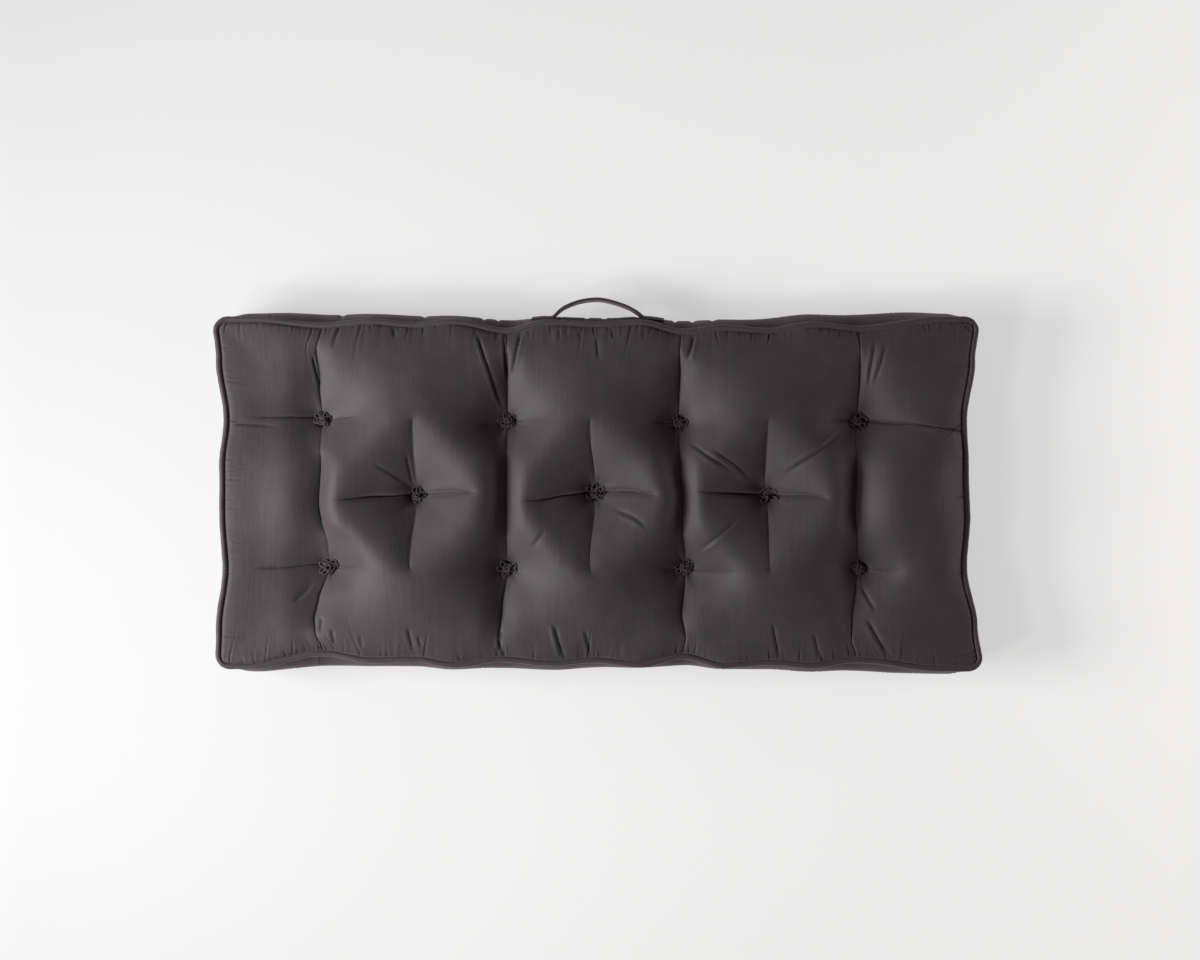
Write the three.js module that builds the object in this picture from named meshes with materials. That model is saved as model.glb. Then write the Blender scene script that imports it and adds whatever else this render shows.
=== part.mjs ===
// A long box-edged sofa seat cushion, tufted right through with yarn rosettes, with a welt cord
// in both edge seams and a flat carrying handle on its back side.
//
// Millimetres, +Z up. +X runs along the cushion and +Y points to its back. The cushion lies on its
// underside at z = 0, and the origin is the bottom centre of the whole object, handle included.
//
// The filled case is one solid. Its top and its underside are stretched covers: each is settled
// over a grid as a skin that the filling pushes out, the tufts hold and the folds pull in.

import * as THREE from "three";

// ---- driving sizes ----
const HALF_LENGTH = 512; // centre to the end seams, at the corners
const HALF_DEPTH = 232; // centre to the long seams, at the corners
const CORNER_RADIUS = 13;
const TOP_SEAM_Z = 76;
const UNDER_SEAM_Z = 18;
const TUFT_PAD = 14; // half the pinched patch under a rosette
const GAP = 0.4; // between pieces that touch

// Each cover's shape, in heights measured outwards from its seam: at the tufts, the highest that a
// channel's fold and the whole cover can stand, and the filling's push as a curvature in 1/mm. The
// underside meets the floor at its highest.
const TOP = { seamZ: TOP_SEAM_Z, out: 1, tuft: -22, channel: -2, most: 60, push: 0.0085 };
const UNDER = { seamZ: UNDER_SEAM_Z, out: -1, tuft: 6, channel: 14, most: UNDER_SEAM_Z, push: 0.009 };
const SEAM_DIP = 0.4; // how far a seam dips for each millimetre that it is drawn in

// Tuft columns, with how far the seams are drawn in where a column's fold meets them.
// channel is 1 where the fold runs the whole depth.
const COLUMNS = [
  { x: -370, back: 8, front: 20, channel: 1 },
  { x: -246, back: 7, front: 12, channel: 0 },
  { x: -123, back: 15, front: 12, channel: 1 },
  { x: -4, back: 6, front: 11, channel: 0 },
  { x: 113, back: 16, front: 16, channel: 1 },
  { x: 230, back: 15, front: 8, channel: 0 },
  { x: 353, back: 12, front: 11, channel: 1 },
];

// Between the columns the long seams stand further out.
const SWELLS = [
  { x: -512, back: 0, front: 3 },
  { x: -470, back: 0, front: 3 },
  { x: -308, back: 3, front: 11 },
  { x: -197, back: 3, front: 5 },
  { x: -68, back: 4, front: 7 },
  { x: 55, back: 4, front: 5 },
  { x: 170, back: 11, front: 4 },
  { x: 289, back: 7, front: 4 },
  { x: 462, back: 0, front: 0 },
  { x: 512, back: 0, front: 0 },
];

// How far the end seams are drawn in, from front to back.
const END_SEAMS = [
  { y: -232, left: 3, right: 0 },
  { y: -180, left: 4, right: 7 },
  { y: -100, left: 12, right: 20 },
  { y: -30, left: 8, right: 16 },
  { y: 40, left: 8, right: 18 },
  { y: 100, left: 13.5, right: 20 },
  { y: 180, left: 4, right: 10 },
  { y: 232, left: 0, right: 5 },
];

// Tufts: how far each sits off its column and row, and how far its creases run to each side.
const ROWS = [-100, 0, 100];
const TUFTS = [
  { name: "front_1", column: 0, row: 0, dx: 4, dy: 1, left: 110, right: 50 },
  { name: "front_2", column: 2, row: 0, dx: 0, dy: -1, left: 25, right: 25 },
  { name: "front_3", column: 4, row: 0, dx: 5, dy: 0, left: 45, right: 75 },
  { name: "front_4", column: 6, row: 0, dx: 2, dy: -1, left: 35, right: 70 },
  { name: "middle_1", column: 1, row: 1, dx: 0, dy: -1, left: 108, right: 82 },
  { name: "middle_2", column: 3, row: 1, dx: 1, dy: 2, left: 100, right: 84 },
  { name: "middle_3", column: 5, row: 1, dx: 0, dy: -1, left: 106, right: 82 },
  { name: "back_1", column: 0, row: 2, dx: -4, dy: 1, left: 115, right: 50 },
  { name: "back_2", column: 2, row: 2, dx: 0, dy: -1, left: 50, right: 30 },
  { name: "back_3", column: 4, row: 2, dx: -3, dy: -4, left: 50, right: 25 },
  { name: "back_4", column: 6, row: 2, dx: 0, dy: -1, left: 45, right: 130 },
];

// Creases: the cover rises from each tuft along them. The middle tufts' rise steepens towards the
// tuft, and the others' is straight.
const CREASE = {
  middleRise: 40, // over columnReach
  middleEase: 0.85,
  rowSlope: 0.42,
  channelSlope: 0.5,
  columnReach: 100, // of the middle tufts' creases, to the front and the back
};

// Where the filling pushes more or less. A facet is the flat, rounded diamond round a tuft, and
// edge is the share of it over which it eases off.
const RIM = { push: 0.002, reach: 28 }; // at the seams
const SHOULDER = { push: 0.02, reach: 24 }; // beside the channels
const END_SLACK = { share: 0.5, fade: 60 };
const FACET = { roundness: 1.45, edge: 0.35, outerReach: 62, outerFlatness: 0.8, middleFlatness: 0.55 };
const RIDGE = { push: 0.02, width: 0.2 }; // round the middle tufts' facets
const VALLEY = { turn: 0.55, width: 20, reach: 120 }; // the soft one along each outer tuft's row

// How far the side band's middle stands out past its seams, along the back and the front. There it
// also evens out the seams' waves. The ends bulge alike.
const BULGES = [
  { x: -512, back: 8, front: 8 },
  { x: -475, back: 14, front: 12 },
  { x: -420, back: 17, front: 12 },
  { x: -300, back: 15, front: 8 },
  { x: -180, back: 12, front: 10 },
  { x: -60, back: 10.5, front: 10.5 },
  { x: 60, back: 11, front: 8 },
  { x: 170, back: 10.5, front: 9 },
  { x: 270, back: 15.5, front: 12 },
  { x: 400, back: 18, front: 14.5 },
  { x: 475, back: 14, front: 13.5 },
  { x: 512, back: 8, front: 8 },
];
const END_BULGES = [
  { y: -232, bulge: 8 },
  { y: -170, bulge: 10 },
  { y: 170, bulge: 10 },
  { y: 232, bulge: 8 },
];
const BAND = { evening: 0.6, eveningFade: 60, steps: 4 };

// Welt cord: its radius, and how its middle stands off the seam.
const WELT = { radius: 4.1, offSeam: 5.1, tilt: Math.PI / 6, sides: 6 };

// Carrying handle: a flat strap sewn on at both ends, which stands off the band in between.
// A higher power makes that side of the arch steeper.
const HANDLE = {
  sewnTo: 90, // outer end of each sewn patch, from the middle
  archHalf: 62, // half the free arch
  reach: 22, // inside of the strap to the band, at the middle
  width: 28,
  thickness: 3.2,
  leftPower: 2.2,
  rightPower: 1.5,
  steps: 34,
};

const ROSETTE = { radius: 12.5, height: 8, loops: 7 };
const UNDER_KNOT = { radius: 8, height: 4, loops: 4 };

const CLOTH = { color: 0x2e2b2d, roughness: 0.85, metalness: 0 };
const WELT_CLOTH = { color: 0x29272a, roughness: 0.85, metalness: 0 };
const YARN = { color: 0x161516, roughness: 0.9, metalness: 0 };

// ---- small tools ----
const mix = (a, b, t) => a + (b - a) * t;
const smooth = (t) => {
  const c = Math.min(1, Math.max(0, t));
  return c * c * (3 - 2 * c);
};

// The value called name at a place along a table, eased between its rows.
function eased(rows, along, place, name) {
  const next = Math.max(1, rows.findIndex((row) => row[along] >= place));
  const before = rows[next - 1];
  const after = rows[next];
  const share = (place - before[along]) / (after[along] - before[along]);
  return mix(before[name], after[name], smooth(share));
}

// ---- the grid: lines through the tufts, closer together at the seams ----
const EDGE_STEPS = [0, 8, 24, 54, 92];
const BETWEEN_TUFTS = [0, 0.28, 0.72, 1];

function gridLines(half, stops) {
  const lines = EDGE_STEPS.map((step) => step - half);
  stops.forEach((stop, i) => {
    if (i > 0) {
      const from = stops[i - 1] + TUFT_PAD;
      const to = stop - TUFT_PAD;
      lines.push(...BETWEEN_TUFTS.map((share) => mix(from, to, share)));
    } else {
      lines.push(stop - TUFT_PAD);
    }
    lines.push(stop);
  });
  lines.push(stops.at(-1) + TUFT_PAD);
  return [...lines, ...EDGE_STEPS.map((step) => half - step).reverse()];
}

const XS = gridLines(HALF_LENGTH, COLUMNS.map((column) => column.x));
const YS = gridLines(HALF_DEPTH, ROWS);
const LAST_X = XS.length - 1;
const LAST_Y = YS.length - 1;

// ---- the plan: the straight grid, moved to the uneven outline and tufts ----
const LONG_SEAMS = [...COLUMNS, ...SWELLS].sort((a, b) => a.x - b.x);
const OUTLINE_FADE = 85; // how far in the outline's unevenness reaches
const TUFT_FADE = 60;

// How far each seam is drawn in at a grid point on it.
const longInset = (x, side) => eased(LONG_SEAMS, "x", x, side > 0 ? "back" : "front");
const endInset = (y, side) => eased(END_SEAMS, "y", y, side > 0 ? "right" : "left");

// How a point at a distance from the corner moves along and in from its edge to round it.
function rounding(distance) {
  const angle = Math.max(0, 1 - distance / CORNER_RADIUS) * (Math.PI / 4);
  if (angle === 0) return { along: 0, inwards: 0 };
  return {
    along: CORNER_RADIUS * (1 - Math.sin(angle)) - distance,
    inwards: CORNER_RADIUS * (1 - Math.cos(angle)),
  };
}

// Where a grid point lies in plan. The outline's moves fade inwards from the long seams and the
// ends, and what both would add near a corner is taken off once.
function planOf(x, y) {
  const sideX = Math.sign(x) || 1;
  const sideY = Math.sign(y) || 1;
  const fromEnd = HALF_LENGTH - Math.abs(x);
  const fromLong = HALF_DEPTH - Math.abs(y);
  const nearEnd = 1 - smooth(fromEnd / OUTLINE_FADE);
  const nearLong = 1 - smooth(fromLong / OUTLINE_FADE);
  const longRound = rounding(fromEnd);
  const endRound = rounding(fromLong);
  const cornerRound = rounding(0).inwards;

  const cornerX = cornerRound + endInset(sideY * HALF_DEPTH, sideX);
  const cornerY = cornerRound + longInset(sideX * HALF_LENGTH, sideY);
  const longX = longRound.along + nearEnd * (cornerX - cornerRound);
  const longY = longRound.inwards + longInset(x, sideY);
  const endX = endRound.inwards + endInset(y, sideX);
  const endY = endRound.along + nearLong * (cornerY - cornerRound);
  const both = nearEnd * nearLong;

  const plan = new THREE.Vector2(x, y);
  plan.x -= sideX * (nearLong * longX + nearEnd * endX - both * cornerX);
  plan.y -= sideY * (nearLong * longY + nearEnd * endY - both * cornerY);
  for (const tuft of TUFTS) {
    const away = Math.hypot(x - COLUMNS[tuft.column].x, y - ROWS[tuft.row]);
    const pull = 1 - smooth((away - TUFT_PAD) / TUFT_FADE);
    plan.x += pull * tuft.dx;
    plan.y += pull * tuft.dy;
  }
  return plan;
}

// ---- the covers' heights ----
const besideTuft = (i, j) =>
  TUFTS.some((tuft) => {
    const dx = Math.abs(XS[i] - COLUMNS[tuft.column].x);
    const dy = Math.abs(YS[j] - ROWS[tuft.row]);
    return dx <= TUFT_PAD && dy <= TUFT_PAD;
  });

const CHANNELS = COLUMNS.filter((column) => column.channel).map((column) => column.x);

// Where a place lies from each tuft, and what its creases and facet are like on that side.
function fromTufts(x, y) {
  return TUFTS.map((tuft) => {
    const [dx, dy] = [x - COLUMNS[tuft.column].x, y - ROWS[tuft.row]];
    return { dx, dy, middle: tuft.row === 1, rowReach: dx < 0 ? tuft.left : tuft.right };
  });
}

// How hard the filling pushes the cover out at a place, as a curvature: less on the facets and at
// the ends, more beside the channels, at the seams and on the ridges.
function fillingPush(cover, x, y) {
  const toSeam = Math.min(HALF_LENGTH - Math.abs(x), HALF_DEPTH - Math.abs(y));
  const toChannel = Math.min(...CHANNELS.map((channel) => Math.abs(x - channel)));
  let push = cover.push * (1 - END_SLACK.share * smooth((Math.abs(x) - CHANNELS.at(-1)) / END_SLACK.fade));
  push += SHOULDER.push * Math.exp(-toChannel / SHOULDER.reach);
  let valley = 0;
  for (const { dx, dy, middle, rowReach } of fromTufts(x, y)) {
    const wide = middle ? rowReach : FACET.outerReach;
    const deep = middle ? CREASE.columnReach : FACET.outerReach;
    const out = roundedDistance(dx / wide, dy / deep);
    push *= 1 - (middle ? FACET.middleFlatness : FACET.outerFlatness) * smooth((1 - out) / FACET.edge);
    if (middle) push += RIDGE.push * Math.exp(-(((out - 1) / RIDGE.width) ** 2));
    else valley = Math.max(valley, valleyBend(dx, dy));
  }
  return push + RIM.push * Math.exp(-toSeam / RIM.reach) - valley;
}

// 1 on the rounded diamond through one unit along each axis.
function roundedDistance(u, v) {
  return (Math.abs(u) ** FACET.roundness + Math.abs(v) ** FACET.roundness) ** (1 / FACET.roundness);
}

function valleyBend(dx, dy) {
  const along = Math.max(0, 1 - Math.abs(dx) / VALLEY.reach);
  return (VALLEY.turn * along * Math.exp(-((dy / VALLEY.width) ** 2))) / (VALLEY.width * Math.sqrt(Math.PI));
}

// How high the cover can stand at a place: along the creases it rises from the tufts.
function creaseCeiling(cover, x, y) {
  let ceiling = CHANNELS.includes(x) ? cover.channel : cover.most;
  for (const { dx, dy, middle, rowReach } of fromTufts(x, y)) {
    const onRow = dy === 0 && Math.abs(dx) < rowReach;
    const onColumn = dx === 0 && Math.abs(dy) < CREASE.columnReach;
    if (!onRow && !onColumn) continue;
    const away = Math.abs(dx) + Math.abs(dy);
    const straight = away * (onRow ? CREASE.rowSlope : CREASE.channelSlope);
    const curved = CREASE.middleRise * (away / CREASE.columnReach) ** CREASE.middleEase;
    ceiling = Math.min(ceiling, cover.tuft + (middle ? curved : straight));
  }
  return ceiling;
}

function seamHeight(i, j) {
  const onLong = j === 0 || j === LAST_Y;
  const inset = onLong ? longInset(XS[i], YS[j]) : endInset(YS[j], XS[i]);
  return -SEAM_DIP * inset;
}

// Heights of one cover at every grid point, above its seam. Each free point is set over and over
// to the height at which the skin's curvature there balances the push.
function settle(cover) {
  const SWEEPS = 600;
  const OVERSHOOT = 1.8;
  const height = XS.map(() => YS.map(() => 0));
  const free = [];
  for (let i = 0; i <= LAST_X; i++) {
    for (let j = 0; j <= LAST_Y; j++) {
      if (i === 0 || i === LAST_X || j === 0 || j === LAST_Y) height[i][j] = seamHeight(i, j);
      else if (besideTuft(i, j)) height[i][j] = cover.tuft;
      else free.push({ i, j, ...balance(cover, i, j) });
    }
  }
  for (let sweep = 0; sweep < SWEEPS; sweep++) {
    for (const { i, j, west, east, south, north, push, ceiling } of free) {
      const pulledX = west * height[i - 1][j] + east * height[i + 1][j];
      const pulled = pulledX + south * height[i][j - 1] + north * height[i][j + 1];
      const target = (pulled + push) / (west + east + south + north);
      height[i][j] = Math.min(ceiling, mix(height[i][j], target, OVERSHOOT));
    }
  }
  return height;
}

// The pull of each neighbour on a grid point, with the push and the ceiling there.
function balance(cover, i, j) {
  const dw = XS[i] - XS[i - 1];
  const de = XS[i + 1] - XS[i];
  const ds = YS[j] - YS[j - 1];
  const dn = YS[j + 1] - YS[j];
  return {
    west: 2 / (dw * (dw + de)),
    east: 2 / (de * (dw + de)),
    south: 2 / (ds * (ds + dn)),
    north: 2 / (dn * (ds + dn)),
    push: fillingPush(cover, XS[i], YS[j]),
    ceiling: creaseCeiling(cover, XS[i], YS[j]),
  };
}

// ---- the filled case ----

// Grid points round the edge, counter-clockwise from the front left corner.
function edgePoints() {
  const points = [];
  for (let i = 0; i < LAST_X; i++) points.push([i, 0]);
  for (let j = 0; j < LAST_Y; j++) points.push([LAST_X, j]);
  for (let i = LAST_X; i > 0; i--) points.push([i, LAST_Y]);
  for (let j = LAST_Y; j > 0; j--) points.push([0, j]);
  return points;
}
const EDGE = edgePoints();
const PLAN = XS.map((x) => YS.map((y) => planOf(x, y)));

function coverPoints(cover) {
  const heights = settle(cover);
  const zOf = (i, j) => cover.seamZ + cover.out * heights[i][j];
  return XS.map((x, i) => YS.map((y, j) => new THREE.Vector3(PLAN[i][j].x, PLAN[i][j].y, zOf(i, j))));
}
const TOP_POINTS = coverPoints(TOP);
const UNDER_POINTS = coverPoints(UNDER);

// Outward direction in plan at each edge point.
const OUTWARD = EDGE.map((_, k) => {
  const [i0, j0] = EDGE.at(k - 1);
  const [i1, j1] = EDGE[(k + 1) % EDGE.length];
  const along = PLAN[i1][j1].clone().sub(PLAN[i0][j0]).normalize();
  return new THREE.Vector3(along.y, -along.x, 0);
});

// How far the band's middle stands out past the seams at an edge point.
function bandBulge([i, j]) {
  const [x, y] = [XS[i], YS[j]];
  if (j > 0 && j < LAST_Y) return eased(END_BULGES, "y", y, "bulge");
  const evening = BAND.evening * smooth((HALF_LENGTH - Math.abs(x)) / BAND.eveningFade);
  return eased(BULGES, "x", x, y > 0 ? "back" : "front") + evening * longInset(x, y);
}

// The band at edge point k, from its top seam (share 0) to its lower one (share 1).
function bandPoint(k, share) {
  const [i, j] = EDGE[k];
  const point = TOP_POINTS[i][j].clone().lerp(UNDER_POINTS[i][j], share);
  return point.addScaledVector(OUTWARD[k], bandBulge(EDGE[k]) * Math.sin(share * Math.PI));
}

// A solid from quads and triangles given as corner points.
class Facets {
  positions = [];
  triangle(a, b, c) {
    this.positions.push(...a.toArray(), ...b.toArray(), ...c.toArray());
  }
  quad(a, b, c, d) {
    this.triangle(a, b, c);
    this.triangle(a, c, d);
  }
  geometry() {
    const geometry = new THREE.BufferGeometry();
    geometry.setAttribute("position", new THREE.Float32BufferAttribute(this.positions, 3));
    return geometry;
  }
}

function caseGeometry() {
  const facets = new Facets();
  for (let i = 0; i < LAST_X; i++) {
    for (let j = 0; j < LAST_Y; j++) {
      const [p, q] = [TOP_POINTS, UNDER_POINTS];
      facets.quad(p[i][j], p[i + 1][j], p[i + 1][j + 1], p[i][j + 1]);
      facets.quad(q[i][j], q[i][j + 1], q[i + 1][j + 1], q[i + 1][j]);
    }
  }
  EDGE.forEach((_, k) => {
    const next = (k + 1) % EDGE.length;
    for (let step = 0; step < BAND.steps; step++) {
      const upper = step / BAND.steps;
      const lower = (step + 1) / BAND.steps;
      facets.quad(bandPoint(k, lower), bandPoint(next, lower), bandPoint(next, upper), bandPoint(k, upper));
    }
  });
  return facets.geometry();
}

// ---- lofted pieces: sections joined in order, as a closed ring or with flat ends ----
function loft(sections, ring) {
  const facets = new Facets();
  const sides = sections[0].length;
  const spans = ring ? sections.length : sections.length - 1;
  for (let s = 0; s < spans; s++) {
    const a = sections[s];
    const b = sections[(s + 1) % sections.length];
    for (let n = 0; n < sides; n++) {
      const m = (n + 1) % sides;
      facets.quad(a[n], b[n], b[m], a[m]);
    }
  }
  if (!ring) {
    const first = sections[0];
    const last = sections.at(-1);
    for (let n = 2; n < sides; n++) {
      const m = (n + 1) % sides;
      facets.triangle(first[1], first[n], first[m]);
      facets.triangle(last[1], last[m], last[n]);
    }
  }
  return facets.geometry();
}

// The welt cord along one seam: it lies outside the seam, tilted towards its cover.
function weltGeometry(cover, points) {
  const up = new THREE.Vector3(0, 0, 1);
  const sections = EDGE.map(([i, j], k) => {
    const centre = points[i][j].clone();
    centre.addScaledVector(OUTWARD[k], WELT.offSeam * Math.cos(WELT.tilt));
    centre.addScaledVector(up, cover.out * WELT.offSeam * Math.sin(WELT.tilt));
    return Array.from({ length: WELT.sides }, (_, n) => {
      const angle = (2 * Math.PI * n) / WELT.sides;
      const point = centre.clone().addScaledVector(OUTWARD[k], WELT.radius * Math.cos(angle));
      return point.addScaledVector(up, WELT.radius * Math.sin(angle));
    });
  });
  return loft(sections, true);
}

// ---- the handle ----

// The band's surface on the back at x, straight between its facets' corners.
function backBand(x, share) {
  const k = EDGE.findIndex(([, j], n) => j === LAST_Y && bandPoint(n, share).x <= x);
  const right = bandPoint(k - 1, share);
  const left = bandPoint(k, share);
  return left.lerp(right, (x - left.x) / (right.x - left.x));
}

// How far the strap stands off the band at x.
function archAt(x) {
  const t = Math.abs(x) / HANDLE.archHalf;
  const power = x < 0 ? HANDLE.leftPower : HANDLE.rightPower;
  return HANDLE.reach * Math.max(0, 1 - t ** power);
}

// A strap's section: along the band's curve where it is sewn on, and flat where it stands free.
function handleSection(x) {
  const middle = backBand(x, 0.5);
  const arch = archAt(x);
  const flatness = smooth(arch / (HANDLE.reach / 2));
  const face = [-1, 0, 1].map((n) => {
    const z = middle.z + (n * HANDLE.width) / 2;
    const share = mix(0.5, n > 0 ? 0.25 : 0.75, Math.abs(n));
    const bandY = mix(backBand(x, share).y, middle.y, flatness);
    return new THREE.Vector3(x, bandY + GAP + arch, z);
  });
  const outer = face.map((point) => point.clone().setY(point.y + HANDLE.thickness));
  return [...face, ...outer.reverse()];
}

function handleGeometry() {
  const sections = [];
  for (let step = 0; step <= HANDLE.steps; step++) {
    sections.push(handleSection(mix(-HANDLE.sewnTo, HANDLE.sewnTo, step / HANDLE.steps)));
  }
  return loft(sections, false);
}

// ---- the tufts: a ring of yarn loops round a knot, as one lobed button ----
function tuftGeometry({ radius, height, loops }) {
  const profile = [
    [0, 0],
    [0.84, 0],
    [1, 0.4],
    [0.62, 0.95],
    [0, 1],
  ].map(([r, h]) => new THREE.Vector2(r * radius, h * height));
  const geometry = new THREE.LatheGeometry(profile, 2 * loops).rotateX(Math.PI / 2);
  const position = geometry.attributes.position;
  for (let n = 0; n < position.count; n++) {
    const angle = Math.atan2(position.getX(n), position.getY(n));
    const lobe = 0.93 + 0.07 * Math.cos(loops * angle);
    position.setXY(n, position.getX(n) * lobe, position.getY(n) * lobe);
  }
  return geometry;
}

// ---- the whole cushion ----
const materialOf = (finish) => new THREE.MeshStandardMaterial(finish);

function named(name, geometry, finish) {
  const mesh = new THREE.Mesh(geometry, materialOf(finish));
  mesh.name = name;
  return mesh;
}

function buildCushion() {
  const cushion = new THREE.Group();
  cushion.add(named("case", caseGeometry(), CLOTH));
  cushion.add(named("welt_top", weltGeometry(TOP, TOP_POINTS), WELT_CLOTH));
  cushion.add(named("welt_under", weltGeometry(UNDER, UNDER_POINTS), WELT_CLOTH));
  cushion.add(named("handle", handleGeometry(), CLOTH));
  for (const tuft of TUFTS) {
    const place = planOf(COLUMNS[tuft.column].x, ROWS[tuft.row]);
    const rosette = named(`tuft_${tuft.name}`, tuftGeometry(ROSETTE), YARN);
    rosette.position.set(place.x, place.y, TOP.seamZ + TOP.tuft + GAP);
    const knot = named(`knot_${tuft.name}`, tuftGeometry(UNDER_KNOT), YARN);
    knot.position.set(place.x, place.y, UNDER.seamZ - UNDER.tuft - GAP);
    knot.rotation.x = Math.PI;
    cushion.add(rosette, knot);
  }
  return cushion;
}

const cushion = buildCushion();
const box = new THREE.Box3().setFromObject(cushion, true);
const centre = box.getCenter(new THREE.Vector3());
cushion.position.set(-centre.x, -centre.y, -box.min.z);

export default new THREE.Group().add(cushion);
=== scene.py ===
"""The looks of a tufted sofa seat cushion: a filled cotton cover with its folds, puckered seams,
welt cords, a stitched carrying handle, yarn rosettes and plain knots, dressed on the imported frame.

Shapes are worked out in millimetres on the cushion's own plan, +X along it and +Y to its back,
and move to the frame's metres when a mesh is made."""

import math
from collections import namedtuple

import bpy
import numpy as np
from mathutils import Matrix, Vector


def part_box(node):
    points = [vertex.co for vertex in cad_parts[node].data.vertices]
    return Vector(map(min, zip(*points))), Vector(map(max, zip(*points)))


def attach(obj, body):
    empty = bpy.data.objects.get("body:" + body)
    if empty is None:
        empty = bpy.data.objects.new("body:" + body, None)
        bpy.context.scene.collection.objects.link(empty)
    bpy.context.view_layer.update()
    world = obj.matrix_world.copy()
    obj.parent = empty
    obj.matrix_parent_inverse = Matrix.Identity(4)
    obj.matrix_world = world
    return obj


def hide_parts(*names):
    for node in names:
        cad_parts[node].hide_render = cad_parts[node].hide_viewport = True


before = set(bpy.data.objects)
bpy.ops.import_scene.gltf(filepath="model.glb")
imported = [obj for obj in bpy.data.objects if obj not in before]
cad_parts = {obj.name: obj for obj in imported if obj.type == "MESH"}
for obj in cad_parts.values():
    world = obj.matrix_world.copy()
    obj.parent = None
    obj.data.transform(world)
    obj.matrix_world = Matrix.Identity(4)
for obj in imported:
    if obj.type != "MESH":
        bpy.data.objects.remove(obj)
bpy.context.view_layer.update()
MM = 0.001

# ---------------------------------------------------------------- driving sizes, as in the solids
HALF_LENGTH = 512.0
HALF_DEPTH = 232.0
CORNER_RADIUS = 13.0
TOP_SEAM_Z = 76.0
UNDER_SEAM_Z = 18.0
WELT_RADIUS = 3.7
WELT_OFF_SEAM = 4.1
WELT_TILT = math.radians(10)
SEAM_DIP = 0.4
OUTLINE_FADE = 85.0
TUFT_FADE = 60.0
TUFT_PAD = 14.0
EDGE_PUSH = 0.01
EDGE_REACH = 14.0

# The tuft columns: how far the seams are drawn in at the back and front, and how far a channel's
# shoulders lie to its left and right (0 where the column has no channel).
Column = namedtuple("Column", "x back front left right")
COLUMNS = [
    Column(-370, 8, 20, 42, 18),
    Column(-246, 7, 12, 0, 0),
    Column(-123, 15, 12, 28, 20),
    Column(-4, 6, 11, 0, 0),
    Column(113, 16, 16, 28, 20),
    Column(230, 15, 8, 0, 0),
    Column(353, 12, 11, 28, 42),
]
CHANNELS = [column for column in COLUMNS if column.left]
# How far the long seams are drawn in between the columns.
Swell = namedtuple("Swell", "x back front")
SWELLS = [
    Swell(-512, 0, 3),
    Swell(-470, 0, 3),
    Swell(-308, 3, 11),
    Swell(-197, 3, 5),
    Swell(-68, 4, 7),
    Swell(55, 4, 5),
    Swell(170, 11, 4),
    Swell(289, 7, 4),
    Swell(462, 0, 0),
    Swell(512, 0, 0),
]
# How far the end seams are drawn in.
EndSeam = namedtuple("EndSeam", "y left right")
END_SEAMS = [
    EndSeam(-232, 3, 0),
    EndSeam(-180, 4, 7),
    EndSeam(-100, 12, 20),
    EndSeam(-30, 8, 16),
    EndSeam(40, 8, 18),
    EndSeam(100, 13.5, 20),
    EndSeam(180, 4, 10),
    EndSeam(232, 0, 5),
]
ROWS = [-100, 0, 100]
# Each tuft's column, row and offset in plan, and how far its creases reach to its left and right.
Tuft = namedtuple("Tuft", "name column row dx dy left right")
TUFTS = [
    Tuft("front_1", 0, 0, 4, 1, 110, 50),
    Tuft("front_2", 2, 0, 0, -1, 25, 25),
    Tuft("front_3", 4, 0, 5, 0, 45, 75),
    Tuft("front_4", 6, 0, 2, -1, 35, 70),
    Tuft("middle_1", 1, 1, 0, -1, 108, 82),
    Tuft("middle_2", 3, 1, 1, 2, 100, 84),
    Tuft("middle_3", 5, 1, 0, -1, 106, 82),
    Tuft("back_1", 0, 2, -4, 1, 115, 50),
    Tuft("back_2", 2, 2, 0, -1, 50, 30),
    Tuft("back_3", 4, 2, -3, -4, 50, 25),
    Tuft("back_4", 6, 2, 0, -1, 45, 120),
]
# How far the cover has risen at the end of a middle tuft's creases, and how soon. The other tufts'
# creases have slopes, along the row, along the channel and outwards past the outer rows.
# ROW_RELEASE is what a row crease rises besides by its end.
MIDDLE_RISE = 44.0
MIDDLE_EASE = 0.8
ROW_SLOPE = 0.34
ROW_RELEASE = 14.0
CHANNEL_SLOPE = 0.45
OUTWARD_SLOPE = 0.22
COLUMN_CREASE_REACH = 100.0
# The slope by which the cover turns down beside a channel, and over what share of the shoulder.
SHOULDER_TURN = 0.7
SHOULDER_WIDTH = 0.5
# Past the outer rows the turn loses the share SHOULDER_LOSS over this distance.
SHOULDER_FADE = 60.0
SHOULDER_LOSS = 0.45
# The share of its push that the filling loses in the left end panel and past the outer rows.
END_SLACK = 1.0
OUTER_SLACK = 0.5
END_SLACK_FADE = 30.0
# The facets round a tuft: their corners, reach, flatness and the ridge round them.
FACET_ROUNDNESS = 1.8
OUTER_FACET = 62.0
OUTER_FLATNESS = 0.9
LEFT_FLATNESS = 0.6
RIGHT_FLATNESS = 0.35
FACET_EASE = 0.35
LEFT_RIDGE = 0.024
RIGHT_RIDGE = 0.018
RIDGE_WIDTH = 0.24
# The soft valleys along the outer rows.
VALLEY_WIDTH = 20.0
VALLEY_TURN = 0.8
VALLEY_REACH = 120.0

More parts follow.
